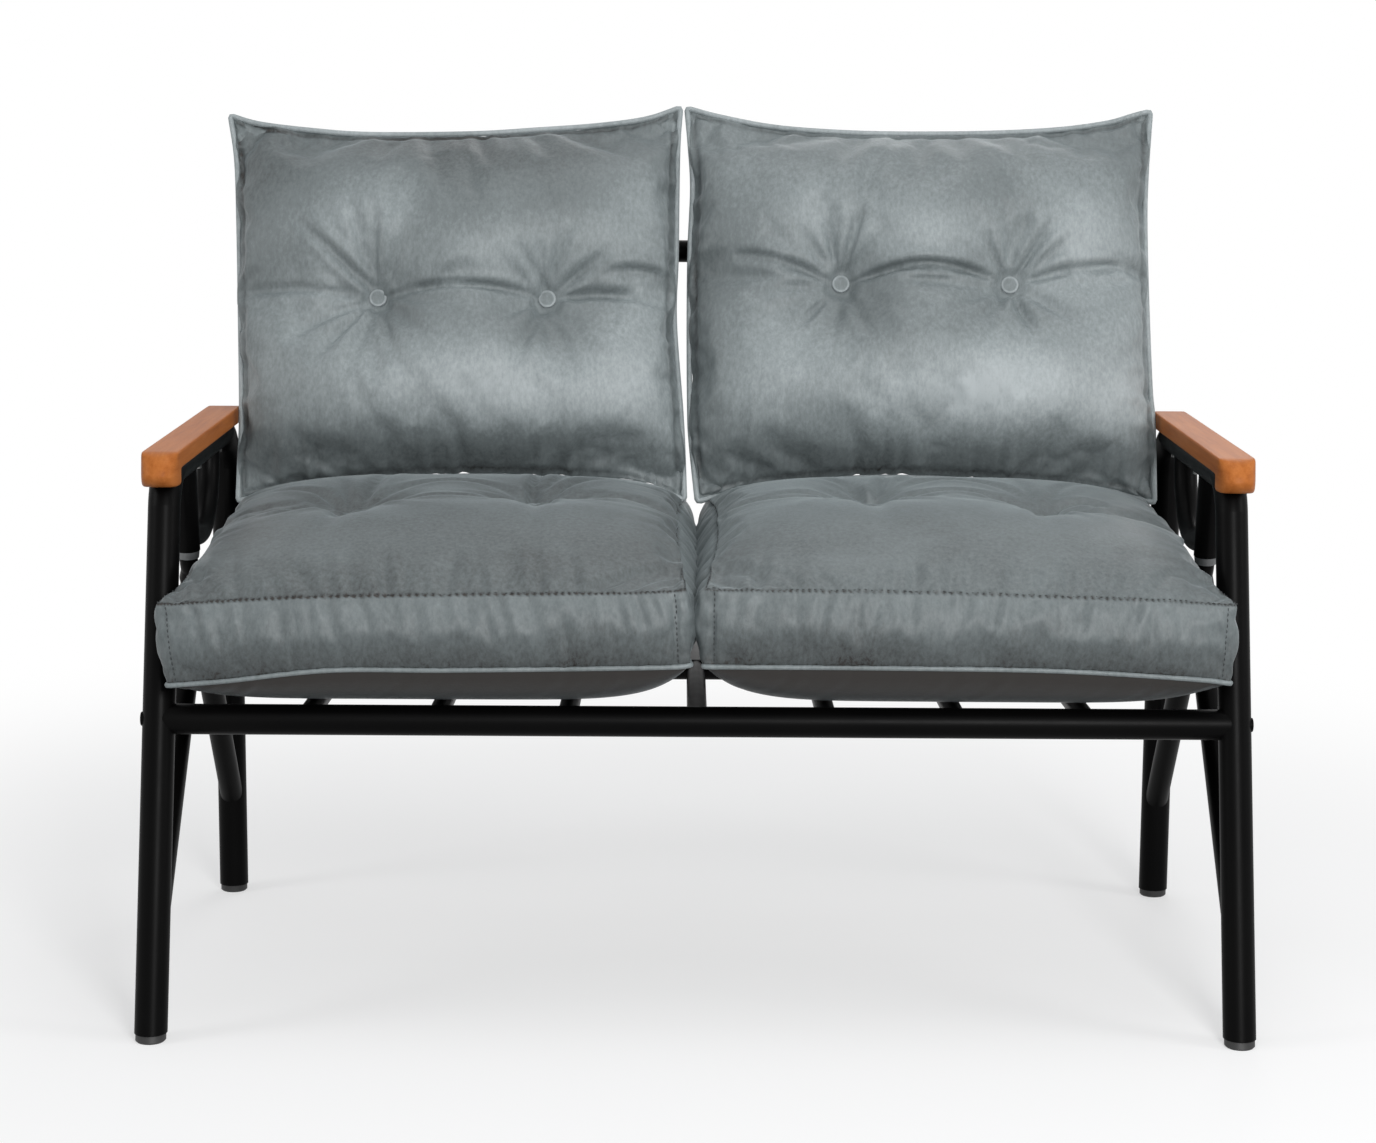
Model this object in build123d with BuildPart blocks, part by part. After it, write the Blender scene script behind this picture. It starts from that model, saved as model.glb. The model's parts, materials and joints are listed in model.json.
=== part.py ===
from build123d import *
import math
import os

os.makedirs("parts", exist_ok=True)

# A two-seat porch loveseat: a black steel tube frame, oiled wooden armrests and four loose
# cushions. Sizes are in millimetres and angles in degrees. X runs along the bench, the front
# faces -Y, Z points up, the floor is at zero, and Y is zero at the middle of the depth.

# Side hoops: each is one bent tube that makes the front leg, the armrest bar and the rear leg.
leg_spacing = 1052
foot_spread = 541
front_leg_lean = 15.9
armrest_bar_height = 532
hoop_tube = 32
hoop_bend_radius = 45
tube_wall = 1.5

# Foot plugs: plastic plugs that close the tubes and stand on the floor.
plug_rim_height = 8
plug_rim_diameter = 29.6
plug_stem_length = 22
plug_edge = 1.5

# Seat: two cross rails, a crossbar between the rear braces, and slats butted against them.
rail_tube = 30
front_rail_height = 299
rear_rail_height = 280
crossbar_tube = 22
slat_tube = 20
slat_lift = 4
slat_count = 7
slat_pitch = 127

# Braces, and the fork under each armrest.
brace_tube = 25
brace_neck = 19
brace_neck_length = 12
brace_neck_radius = 30
brace_taper_length = 12
front_brace_foot_height = 87
front_brace_rise = 45
rear_brace_foot_height = 106.5
fork_top_behind_foot = 261
fork_lean = 9
fork_mouth_drop = 96
fork_elbow_drop = 12
fork_rear_reach = 158
fork_rear_set_back = 151
fork_rear_corner_drop = 2
fork_rear_end_rise = 16
fork_bend_radius = 80
neck_insertion = 28
ferrule_skirt_height = 8
ferrule_skirt_diameter = 24
ferrule_lip = 1
ferrule_insertion = 20

# Armrests: wooden caps with a groove that takes the bar, turned down over its front bend.
armrest_width = 37
armrest_cover = 9
armrest_thickness = 18
armrest_nose_depth = 34
armrest_nose_reach = 53.5
armrest_throat_reach = 12
armrest_end_short = 1
armrest_nose_radius = 24
armrest_nose_low_radius = 8
armrest_throat_radius = 14
armrest_nose_plan_radius = 13
armrest_edge_radius = 3.5
armrest_end_radius = 4

# Fasteners.
screw_diameter = 5
screw_head_diameter = 10
screw_head_height = 3.5
screw_count = 3
screw_end_margin = 16
screw_wood_left = 5
bolt_diameter = 8
bolt_head_diameter = 14
bolt_head_height = 5
rail_bolt_length = 52
nut_width = 13
nut_height = 6.5
nut_sides = 6
insert_length = 22
insert_set_back = 2
back_bolt_low_rise = 29
back_bolt_high_rise = 96

# Back frame: two bent posts, a top rail, a lower rail and upright bars between them.
recline = 18
post_tube = 25
post_bend_radius = 90
back_lower_rail_tube = 20
back_lower_rail_below_bend = 65
back_top_rail_height = 725
back_bar_tube = 16
back_bar_count = 8
back_bar_pitch = 128

# Back cushions: pillows with a seam all round, drawn in between their corners, and with two
# buttons sewn deep into the front. The two meet a little to the left of the middle.
back_cushion_foot_behind_foot = 485
back_cushion_foot_height = 461.8
back_cushion_height = 438
back_cushion_front_crown = 74
back_cushion_rear_crown = 60
back_cushion_side_draw = 9
back_cushion_top_draw = 22
back_cushion_seam = 9
back_cushion_meeting = -8
back_section_shares = (-1, -0.9, -0.55, 0, 0.55, 0.9, 1)
back_crown_shares = (0, 0.5, 0.9, 1, 0.9, 0.5, 0)
back_draw_shares = (0, 0.3, 0.85, 1, 0.85, 0.3, 0)
back_front_place_shares = (0.03, 0.1, 0.22, 0.5, 0.78, 0.9, 0.97)
back_front_rise_shares = (0.34, 0.63, 0.87, 1, 0.84, 0.6, 0.32)
button_diameter = 21
button_height = 7
button_edge = 2.5
button_depth = 30
button_inset = 1.5
button_dimple_radius = 58
left_button_line = 214
right_button_line = 233
tuft_spacing = 186

# Seat cushions: boxed cushions with a high crown, a flat underside and two blind tufts. The
# heights are above the underside and the places are behind the front edge.
seat_cushion_overhang = 47
seat_cushion_front_seam_low = 43
seat_cushion_front_seam_high = 119
seat_cushion_rear_seam_low = 76
seat_cushion_rear_seam_high = 152
seat_cushion_crown_rise = 48
seat_top_place_shares = (0.045, 0.114, 0.227, 0.393, 0.6, 0.785, 0.924)
seat_top_rise_shares = (0.4, 0.7, 0.92, 1, 0.91, 0.66, 0.255)
seat_cushion_bulge = 6
seat_cushion_flat_front = 72
seat_cushion_flat_rear = 412
seat_cushion_end_drop = 36
seat_cushion_end_rise = 26
seat_cushion_corner_draw = 6
seat_section_shares = (-1, -0.9, -0.55, 0, 0.55, 0.9, 1)
seat_fullness_shares = (0, 0.45, 0.9, 1, 0.9, 0.45, 0)
seat_tuft_place = 215
seat_tuft_height = 166
seat_tuft_radius = 46
left_seat_tuft_shift = 0
right_seat_tuft_shift = 15

# Clearances of soft pieces, of bolts in their holes and of plugs in their tubes, and the
# length by which a cutter runs past what it cuts.
soft_gap = 0.3
cushion_middle_gap = 7
cushion_side_gap = 2
cushion_rear_gap = 2
hole_gap = 0.3
thread_gap = 0.05
plug_gap = 0.1
overrun = 20


def tangent(angle):
    return math.tan(math.radians(angle))


def sine(angle):
    return math.sin(math.radians(angle))


def cosine(angle):
    return math.cos(math.radians(angle))


# Depth: from the front edge of the front plugs to the rear of the back frame's top rail. Its
# middle is the origin, so the feet are placed from it.
post_behind = back_cushion_rear_crown + soft_gap + back_bar_tube / 2
top_rail_up = (
    back_top_rail_height - back_cushion_foot_height + post_behind * sine(recline)
) / cosine(recline)
rear_end = (
    back_cushion_foot_behind_foot
    + top_rail_up * sine(recline)
    + post_behind * cosine(recline)
    + post_tube / 2
)
front_end = plug_edge * tangent(front_leg_lean) - plug_rim_diameter / 2 / cosine(front_leg_lean)
front_foot_y = -(front_end + rear_end) / 2
rear_leg_y = front_foot_y + foot_spread
leg_x = leg_spacing / 2
side_places = {"left": -leg_x, "right": leg_x}


def front_leg_y(height):
    """Where the front leg's axis is at a height."""
    return front_foot_y + height * tangent(front_leg_lean)


def fork_y(height):
    """Where the axis of the fork's front arm is at a height."""
    return front_foot_y + fork_top_behind_foot + (armrest_bar_height - height) * tangent(fork_lean)


def meet(start_a, end_a, start_b, end_b):
    """The point, as (y, z), where two lines of the side view cross."""
    ay, az = end_a[0] - start_a[0], end_a[1] - start_a[1]
    by, bz = end_b[0] - start_b[0], end_b[1] - start_b[1]
    gap_y, gap_z = start_b[0] - start_a[0], start_b[1] - start_a[1]
    share = (gap_y * bz - gap_z * by) / (ay * bz - az * by)
    return (start_a[0] + share * ay, start_a[1] + share * az)


def toward(start, end, distance):
    """The point, as (y, z), at a distance from one point of the side view towards another."""
    share = distance / math.dist(start, end)
    return (start[0] + (end[0] - start[0]) * share, start[1] + (end[1] - start[1]) * share)


def at(x, point):
    """A point of the side view, moved out to a place along the bench."""
    return (x, point[0], point[1])


def rod(start, end, diameter):
    """A solid round bar between two points, used as a piece or as a cutter."""
    axis = Vector(*end) - Vector(*start)
    with BuildPart() as bar:
        with BuildSketch(Plane(origin=start, z_dir=axis)):
            Circle(diameter / 2)
        extrude(amount=axis.length)
    return bar.part


def taper(start, end, start_diameter, end_diameter):
    """A solid cone between two points."""
    axis = Vector(*end) - Vector(*start)
    with BuildPart() as cone:
        with BuildSketch(Plane(origin=start, z_dir=axis)):
            Circle(start_diameter / 2)
        with BuildSketch(Plane(origin=end, z_dir=axis)):
            Circle(end_diameter / 2)
        loft()
    return cone.part


def bent_rod(points, radius, diameter):
    """A solid round bar along straight runs joined by bends."""
    with BuildPart() as bar:
        with BuildLine() as path:
            FilletPolyline(*points, radius=radius)
        with BuildSketch(Plane(origin=path.line @ 0, z_dir=path.line % 0)):
            Circle(diameter / 2)
        sweep(path=path.line)
    return bar.part


def x_rod(start_x, end_x, point, diameter):
    """A solid round bar along X through a point of the side view."""
    return rod(at(start_x, point), at(end_x, point), diameter)


def tube(outer, bore, *cutters):
    """A piece of tube: an outer shape less its bore and what it is cut to fit against."""
    with BuildPart() as piece:
        add(outer)
        add(bore, mode=Mode.SUBTRACT)
        for cutter in cutters:
            add(cutter, mode=Mode.SUBTRACT)
    return piece.part


# The seat plane holds both rails' axes and slopes down a little to the rear. Its local X runs
# to the rear along the slats and its local Y stands square to them.
front_rail_point = (front_leg_y(front_rail_height), front_rail_height)
rear_rail_point = (rear_leg_y, rear_rail_height)
seat_drop = front_rail_height - rear_rail_height
seat_slope = math.degrees(math.atan2(seat_drop, rear_leg_y - front_rail_point[0]))


def seat_point(along, up):
    """A point of the side view, as (y, z), from the seat plane's own measures."""
    y = front_rail_point[0] + along * cosine(seat_slope) + up * sine(seat_slope)
    z = front_rail_point[1] - along * sine(seat_slope) + up * cosine(seat_slope)
    return (y, z)


# The back plane lies through the seams of the back cushions. Its local X runs up the slope and
# its local Y points forward. The posts lie behind it.
back_foot = (front_foot_y + back_cushion_foot_behind_foot, back_cushion_foot_height)


def back_point(up, forward):
    """A point of the side view, as (y, z), from the back plane's own measures."""
    y = back_foot[0] + up * sine(recline) - forward * cosine(recline)
    z = back_foot[1] + up * cosine(recline) + forward * sine(recline)
    return (y, z)


# Corners of the braces, the forks, the crossbar and the back posts in the side view.
rail_run = math.dist(front_rail_point, rear_rail_point)
fork_mouth_height = armrest_bar_height - fork_mouth_drop
fork_top = (fork_y(armrest_bar_height), armrest_bar_height)
fork_mouth = (fork_y(fork_mouth_height), fork_mouth_height)
fork_elbow = (fork_y(fork_mouth_height - fork_elbow_drop), fork_mouth_height - fork_elbow_drop)
fork_rear_top = (fork_top[0] + fork_rear_reach, armrest_bar_height)
fork_rear_corner = (fork_top[0] + fork_rear_set_back, fork_mouth_height - fork_rear_corner_drop)
fork_rear_end = (fork_y(fork_mouth_height + fork_rear_end_rise), fork_mouth_height + fork_rear_end_rise)
rear_brace_foot = (rear_leg_y, rear_brace_foot_height)
front_brace_foot = (front_leg_y(front_brace_foot_height), front_brace_foot_height)
front_brace_aim = (
    front_brace_foot[0] + cosine(front_brace_rise),
    front_brace_foot[1] + sine(front_brace_rise),
)
brace_cross = meet(rear_brace_foot, fork_elbow, front_brace_foot, front_brace_aim)
crossbar_point = meet(
    rear_brace_foot, fork_elbow, seat_point(0, slat_lift), seat_point(rail_run, slat_lift)
)
post_top = back_point(top_rail_up, -post_behind)
post_bend = meet(
    rear_rail_point, (rear_leg_y, back_top_rail_height), back_point(0, -post_behind), post_top
)
post_over = back_point(top_rail_up + overrun, -post_behind)
post_x = leg_x - hoop_tube / 2 - post_tube / 2

# Solid outlines of the tubes that other pieces are cut to fit against.
hoop_points = (
    (front_leg_y(-overrun), -overrun),
    (front_leg_y(armrest_bar_height), armrest_bar_height),
    (rear_leg_y, armrest_bar_height),
    (rear_leg_y, -overrun),
)
rail_cores = [x_rod(-leg_x, leg_x, point, rail_tube) for point in (front_rail_point, rear_rail_point)]
crossbar_core = x_rod(-leg_x, leg_x, crossbar_point, crossbar_tube)
back_lower_rail_point = (rear_leg_y, post_bend[1] - back_lower_rail_below_bend)
hoop_cores = {}
post_cores = {}
rear_brace_cores = {}
for side, side_x in side_places.items():
    hoop_cores[side] = bent_rod([at(side_x, point) for point in hoop_points], hoop_bend_radius, hoop_tube)
    rear_brace_cores[side] = rod(at(side_x, rear_brace_foot), at(side_x, fork_elbow), brace_tube)
    post_path = [at(math.copysign(post_x, side_x), point) for point in (rear_rail_point, post_bend, post_over)]
    post_cores[side] = bent_rod(post_path, post_bend_radius, post_tube)

# Screws stand up through the armrest bars into the wood, evenly spaced along the straight run.
bar_front_y = front_leg_y(armrest_bar_height) + hoop_bend_radius * tangent((90 - front_leg_lean) / 2)
screw_first_y = bar_front_y + screw_end_margin
screw_last_y = rear_leg_y - hoop_bend_radius - screw_end_margin
screw_step = (screw_last_y - screw_first_y) / (screw_count - 1)
screw_ys = [screw_first_y + index * screw_step for index in range(screw_count)]
bar_underside = armrest_bar_height - hoop_tube / 2
armrest_top = armrest_bar_height + hoop_tube / 2 + armrest_cover
screw_tip = armrest_top - screw_wood_left
back_bolt_points = [
    (rear_leg_y, rear_rail_height + rise) for rise in (back_bolt_low_rise, back_bolt_high_rise)
]

for side, side_x in side_places.items():
    outward = math.copysign(1, side_x)
    leg_inner_x = side_x - outward * hoop_tube / 2
    bore = tube_wall * 2

    # Side hoop, cut level above the foot plugs and drilled for its bolts and screws.
    hoop_path = [at(side_x, point) for point in hoop_points]
    hoop_bore = bent_rod(hoop_path, hoop_bend_radius, hoop_tube - bore)
    bolt_holes = [
        x_rod(side_x + outward * hoop_tube, 0, point, bolt_diameter + 2 * hole_gap)
        for point in (front_rail_point, rear_rail_point, *back_bolt_points)
    ]
    screw_holes = [
        rod((side_x, y, bar_underside - overrun), (side_x, y, screw_tip), screw_diameter + 2 * hole_gap)
        for y in screw_ys
    ]
    with BuildPart() as side_hoop:
        add(hoop_cores[side])
        add(hoop_bore, mode=Mode.SUBTRACT)
        split(bisect_by=Plane.XY.offset(plug_rim_height), keep=Keep.TOP)
        add(bolt_holes, mode=Mode.SUBTRACT)
        add(screw_holes, mode=Mode.SUBTRACT)
    side_hoop.part.label = f"{side}_side_hoop"
    export_step(side_hoop.part, f"parts/{side}_side_hoop.step")

    # Foot plugs: a rim that follows the leg, and a stem that fills its tube.
    stem_top_height = plug_rim_height + plug_stem_length
    foot_lines = {
        "front": [(front_leg_y(height), height) for height in (-overrun, plug_rim_height, stem_top_height)],
        "rear": [(rear_leg_y, height) for height in (-overrun, plug_rim_height, stem_top_height)],
    }
    for end, (low, seat, top) in foot_lines.items():
        rim = rod(at(side_x, low), at(side_x, top), plug_rim_diameter)
        stem = rod(at(side_x, low), at(side_x, top), hoop_tube - bore - 2 * plug_gap)
        with BuildPart() as foot_rim:
            add(rim)
            split(bisect_by=Plane.XY.offset(plug_rim_height), keep=Keep.BOTTOM)
            split(bisect_by=Plane.XY, keep=Keep.TOP)
            chamfer(foot_rim.faces().sort_by(Axis.Z)[0].edges(), plug_edge)
        with BuildPart() as foot_plug:
            add(stem)
            split(bisect_by=Plane.XY.offset(plug_rim_height / 2), keep=Keep.TOP)
            add(foot_rim.part)
        foot_plug.part.label = f"{side}_{end}_foot_plug"
        export_step(foot_plug.part, f"parts/{side}_{end}_foot_plug.step")

    # Front brace, from low on the front leg up to the rear brace, cut to both.
    brace_ends = (at(side_x, front_brace_foot), at(side_x, brace_cross))
    front_brace = tube(
        rod(*brace_ends, brace_tube),
        rod(*brace_ends, brace_tube - bore),
        hoop_cores[side],
        rear_brace_cores[side],
    )
    front_brace.label = f"{side}_front_brace"
    export_step(front_brace, f"parts/{side}_front_brace.step")

    # Rear brace, from low on the rear leg up to the fork. Its upper end is drawn down to a neck
    # that bends into line with the fork and slips into it.
    neck_start = toward(fork_elbow, rear_brace_foot, brace_neck_length)
    taper_start = toward(fork_elbow, rear_brace_foot, brace_neck_length + brace_taper_length)
    neck_top_height = fork_mouth_height + neck_insertion
    neck_top = (fork_y(neck_top_height), neck_top_height)
    neck_path = [at(side_x, point) for point in (neck_start, fork_elbow, neck_top)]
    brace_shapes = []
    for less in (0, bore):
        straight = rod(at(side_x, rear_brace_foot), at(side_x, taper_start), brace_tube - less)
        cone = taper(at(side_x, taper_start), at(side_x, neck_start), brace_tube - less, brace_neck - less)
        neck = bent_rod(neck_path, brace_neck_radius, brace_neck - less)
        with BuildPart() as brace_shape:
            add(straight)
            add(cone)
            add(neck)
        brace_shapes.append(brace_shape.part)
    rear_brace = tube(brace_shapes[0], brace_shapes[1], hoop_cores[side])
    rear_brace.label = f"{side}_rear_brace"
    export_step(rear_brace, f"parts/{side}_rear_brace.step")

    # Fork front arm: a nearly upright tube from the armrest bar down to an open mouth.
    arm_ends = (at(side_x, fork_mouth), at(side_x, fork_top))
    fork_core = rod(*arm_ends, brace_tube)
    skirt_foot_height = fork_mouth_height - ferrule_skirt_height
    skirt_foot = at(side_x, (fork_y(skirt_foot_height), skirt_foot_height))
    fork_reach = rod(skirt_foot, arm_ends[1], brace_tube)
    fork_front_arm = tube(fork_core, rod(*arm_ends, brace_tube - bore), hoop_cores[side])
    fork_front_arm.label = f"{side}_fork_front_arm"
    export_step(fork_front_arm, f"parts/{side}_fork_front_arm.step")

    # Fork rear arm: drops from the armrest bar and sweeps forward into the front arm.
    rear_arm_path = [at(side_x, point) for point in (fork_rear_top, fork_rear_corner, fork_rear_end)]
    fork_rear_arm = tube(
        bent_rod(rear_arm_path, fork_bend_radius, brace_tube),
        bent_rod(rear_arm_path, fork_bend_radius, brace_tube - bore),
        hoop_cores[side],
        fork_reach,
    )
    fork_rear_arm.label = f"{side}_fork_rear_arm"
    export_step(fork_rear_arm, f"parts/{side}_fork_rear_arm.step")

    # Ferrule: a plastic sleeve between the brace's neck and the fork's mouth, with a skirt below.
    sleeve_top_height = fork_mouth_height + ferrule_insertion
    sleeve_top = at(side_x, (fork_y(sleeve_top_height), sleeve_top_height))
    mouth = at(side_x, fork_mouth)
    skirt = taper(skirt_foot, mouth, ferrule_skirt_diameter - 2 * ferrule_lip, ferrule_skirt_diameter)
    sleeve = rod(mouth, sleeve_top, brace_tube - bore - 2 * plug_gap)
    neck_hole = bent_rod(neck_path, brace_neck_radius, brace_neck + 2 * plug_gap)
    with BuildPart() as brace_ferrule:
        add(skirt)
        add(sleeve)
        add(neck_hole, mode=Mode.SUBTRACT)
    brace_ferrule.part.label = f"{side}_brace_ferrule"
    export_step(brace_ferrule.part, f"parts/{side}_brace_ferrule.step")

    # Wooden armrest: a side profile with a turned-down nose, rounded in plan, then grooved to
    # sit on the bar and drilled for its screws.
    nose_y = front_leg_y(armrest_bar_height) - armrest_nose_reach
    throat_y = front_leg_y(armrest_bar_height) - armrest_throat_reach
    end_y = rear_leg_y - armrest_end_short
    underside = armrest_top - armrest_thickness
    nose_low = armrest_top - armrest_nose_depth
    bar_groove = bent_rod(hoop_path, hoop_bend_radius, hoop_tube + 2 * plug_gap)
    screw_pilots = [
        rod((side_x, y, armrest_bar_height), (side_x, y, screw_tip), screw_diameter + 2 * thread_gap)
        for y in screw_ys
    ]
    with BuildPart() as armrest:
        with BuildSketch(Plane.YZ.offset(side_x - armrest_width / 2)) as profile:
            with BuildLine():
                Polyline(
                    (end_y, underside),
                    (end_y, armrest_top),
                    (nose_y, armrest_top),
                    (nose_y, nose_low),
                    (throat_y, nose_low),
                    (throat_y, underside),
                    close=True,
                )
            make_face()
            fillet(profile.vertices().group_by(Axis.X)[0].sort_by(Axis.Y)[0], armrest_nose_low_radius)
            fillet(profile.vertices().group_by(Axis.Y)[-1].sort_by(Axis.X)[0], armrest_nose_radius)
            fillet(profile.vertices().group_by(Axis.X)[-2].sort_by(Axis.Y)[-1], armrest_throat_radius)
        extrude(amount=armrest_width)
        with BuildSketch(Plane.XY.offset(nose_low)) as plan:
            with Locations((side_x, (nose_y + end_y) / 2)):
                Rectangle(armrest_width, end_y - nose_y)
            fillet(plan.vertices().group_by(Axis.Y)[0], armrest_nose_plan_radius)
            fillet(plan.vertices().group_by(Axis.Y)[-1], armrest_end_radius)
        extrude(amount=armrest_nose_depth, mode=Mode.INTERSECT)
        fillet(armrest.faces().sort_by(Axis.Z)[-1].edges().sort_by(Axis.Y)[1:], armrest_edge_radius)
        add(bar_groove, mode=Mode.SUBTRACT)
        add(screw_pilots, mode=Mode.SUBTRACT)
    armrest.part.label = f"{side}_armrest"
    export_step(armrest.part, f"parts/{side}_armrest.step")

    # Back post: stands on the rear rail against the rear leg, then leans back behind the
    # cushion, with its top mitred to the top rail.
    post_side_x = math.copysign(post_x, side_x)
    post_path = [at(post_side_x, point) for point in (rear_rail_point, post_bend, post_over)]
    post_bore = bent_rod(post_path, post_bend_radius, post_tube - bore)
    mitre = Plane(origin=at(post_side_x, post_top), z_dir=(-outward, sine(recline), cosine(recline)))
    with BuildPart() as back_post:
        add(post_cores[side])
        add(post_bore, mode=Mode.SUBTRACT)
        add(rail_cores[1], mode=Mode.SUBTRACT)
        add(bolt_holes, mode=Mode.SUBTRACT)
        split(bisect_by=mitre, keep=Keep.BOTTOM)
    back_post.part.label = f"{side}_back_post"
    export_step(back_post.part, f"parts/{side}_back_post.step")

# Seat rails, cut to fit between the legs and drilled inside by their own bores.
for name, point in (("front_seat_rail", front_rail_point), ("rear_seat_rail", rear_rail_point)):
    seat_rail = tube(
        x_rod(-leg_x, leg_x, point, rail_tube),
        x_rod(-leg_x, leg_x, point, rail_tube - 2 * tube_wall),
        *hoop_cores.values(),
    )
    seat_rail.label = name
    export_step(seat_rail, f"parts/{name}.step")

# Crossbar between the rear braces, halfway along the slats.
seat_crossbar = tube(
    crossbar_core,
    x_rod(-leg_x, leg_x, crossbar_point, crossbar_tube - 2 * tube_wall),
    *rear_brace_cores.values(),
)
seat_crossbar.label = "seat_crossbar"
export_step(seat_crossbar, "parts/seat_crossbar.step")

# Slats, in a front and a rear row either side of the crossbar, counted from the left.
slat_rows = {
    "front": (seat_point(0, slat_lift), crossbar_point, rail_cores[0]),
    "rear": (crossbar_point, seat_point(rail_run, slat_lift), rail_cores[1]),
}
for row, (slat_start, slat_end, rail_core) in slat_rows.items():
    for index in range(slat_count):
        slat_x = (index - (slat_count - 1) / 2) * slat_pitch
        slat_ends = (at(slat_x, slat_start), at(slat_x, slat_end))
        slat = tube(
            rod(*slat_ends, slat_tube),
            rod(*slat_ends, slat_tube - 2 * tube_wall),
            rail_core,
            crossbar_core,
        )
        slat.label = f"{row}_slat_{index + 1}"
        export_step(slat, f"parts/{row}_slat_{index + 1}.step")

# Top rail of the back frame, mitred to the posts.
with BuildPart() as back_top_rail:
    add(x_rod(-leg_x, leg_x, post_top, post_tube))
    add(x_rod(-leg_x, leg_x, post_top, post_tube - 2 * tube_wall), mode=Mode.SUBTRACT)
    for side_x in side_places.values():
        rail_end = at(math.copysign(post_x, side_x), post_top)
        inward = -math.copysign(1, side_x)
        split(
            bisect_by=Plane(origin=rail_end, z_dir=(inward, sine(recline), cosine(recline))),
            keep=Keep.TOP,
        )
back_top_rail.part.label = "back_top_rail"
export_step(back_top_rail.part, "parts/back_top_rail.step")

# Lower rail of the back frame, cut to fit between the posts.
lower_rail_core = x_rod(-post_x, post_x, back_lower_rail_point, back_lower_rail_tube)
back_lower_rail = tube(
    lower_rail_core,
    x_rod(-post_x, post_x, back_lower_rail_point, back_lower_rail_tube - 2 * tube_wall),
    *post_cores.values(),
)
back_lower_rail.label = "back_lower_rail"
export_step(back_lower_rail, "parts/back_lower_rail.step")

# Upright bars of the back frame, bent like the posts, counted from the left.
top_rail_core = x_rod(-leg_x, leg_x, post_top, post_tube)
for index in range(back_bar_count):
    bar_x = (index - (back_bar_count - 1) / 2) * back_bar_pitch
    bar_path = [at(bar_x, point) for point in (back_lower_rail_point, post_bend, post_top)]
    back_bar = tube(
        bent_rod(bar_path, post_bend_radius, back_bar_tube),
        bent_rod(bar_path, post_bend_radius, back_bar_tube - 2 * tube_wall),
        lower_rail_core,
        top_rail_core,
    )
    back_bar.label = f"back_bar_{index + 1}"
    export_step(back_bar, f"parts/back_bar_{index + 1}.step")

# Rail bolts, one through each leg into an insert in the rail's end.
leg_outer_x = leg_x + hoop_tube / 2
leg_face_x = leg_x - hoop_tube / 2
rail_bolt_ends = [
    (outward, point) for outward in (-1, 1) for point in (front_rail_point, rear_rail_point)
]
rail_bolt_solids = []
insert_solids = []
insert_holes = []
for outward, point in rail_bolt_ends:
    head_x = outward * leg_outer_x
    tip_x = outward * (leg_outer_x - rail_bolt_length)
    insert_x = outward * (leg_face_x - insert_set_back)
    insert_end_x = insert_x - outward * insert_length
    rail_bolt_solids.append(x_rod(head_x, head_x + outward * bolt_head_height, point, bolt_head_diameter))
    rail_bolt_solids.append(x_rod(head_x, tip_x, point, bolt_diameter))
    insert_solids.append(x_rod(insert_x, insert_end_x, point, rail_tube - 2 * tube_wall - 2 * plug_gap))
    insert_holes.append(x_rod(insert_x, insert_end_x, point, bolt_diameter + 2 * thread_gap))
with BuildPart() as rail_bolts:
    add(rail_bolt_solids)
rail_bolts.part.label = "rail_bolts"
export_step(rail_bolts.part, "parts/rail_bolts.step")
with BuildPart() as rail_inserts:
    add(insert_solids)
    add(insert_holes, mode=Mode.SUBTRACT)
rail_inserts.part.label = "rail_inserts"
export_step(rail_inserts.part, "parts/rail_inserts.step")

# Back bolts, two through each rear leg and back post, each with a nut on the inside.
post_face_x = leg_face_x - post_tube
back_bolt_solids = []
for outward in (-1, 1):
    for point in back_bolt_points:
        head_x = outward * leg_outer_x
        tip_x = outward * (post_face_x - nut_height)
        back_bolt_solids.append(
            x_rod(head_x, head_x + outward * bolt_head_height, point, bolt_head_diameter)
        )
        back_bolt_solids.append(x_rod(head_x, tip_x, point, bolt_diameter))
with BuildPart() as back_bolts:
    add(back_bolt_solids)
back_bolts.part.label = "back_bolts"
export_step(back_bolts.part, "parts/back_bolts.step")
with BuildPart() as back_nuts:
    for outward in (-1, 1):
        for point in back_bolt_points:
            nut_plane = Plane(origin=at(outward * post_face_x, point), z_dir=(-outward, 0, 0))
            with BuildSketch(nut_plane):
                RegularPolygon(nut_width / 2, nut_sides, major_radius=False)
                Circle(bolt_diameter / 2 + thread_gap, mode=Mode.SUBTRACT)
            extrude(amount=nut_height)
back_nuts.part.label = "back_nuts"
export_step(back_nuts.part, "parts/back_nuts.step")

# Armrest screws, a row under each armrest bar.
screw_solids = []
for side_x in side_places.values():
    for y in screw_ys:
        head_top = (side_x, y, bar_underside)
        screw_solids.append(rod((side_x, y, bar_underside - screw_head_height), head_top, screw_head_diameter))
        screw_solids.append(rod(head_top, (side_x, y, screw_tip), screw_diameter))
with BuildPart() as armrest_screws:
    add(screw_solids)
armrest_screws.part.label = "armrest_screws"
export_step(armrest_screws.part, "parts/armrest_screws.step")

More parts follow.
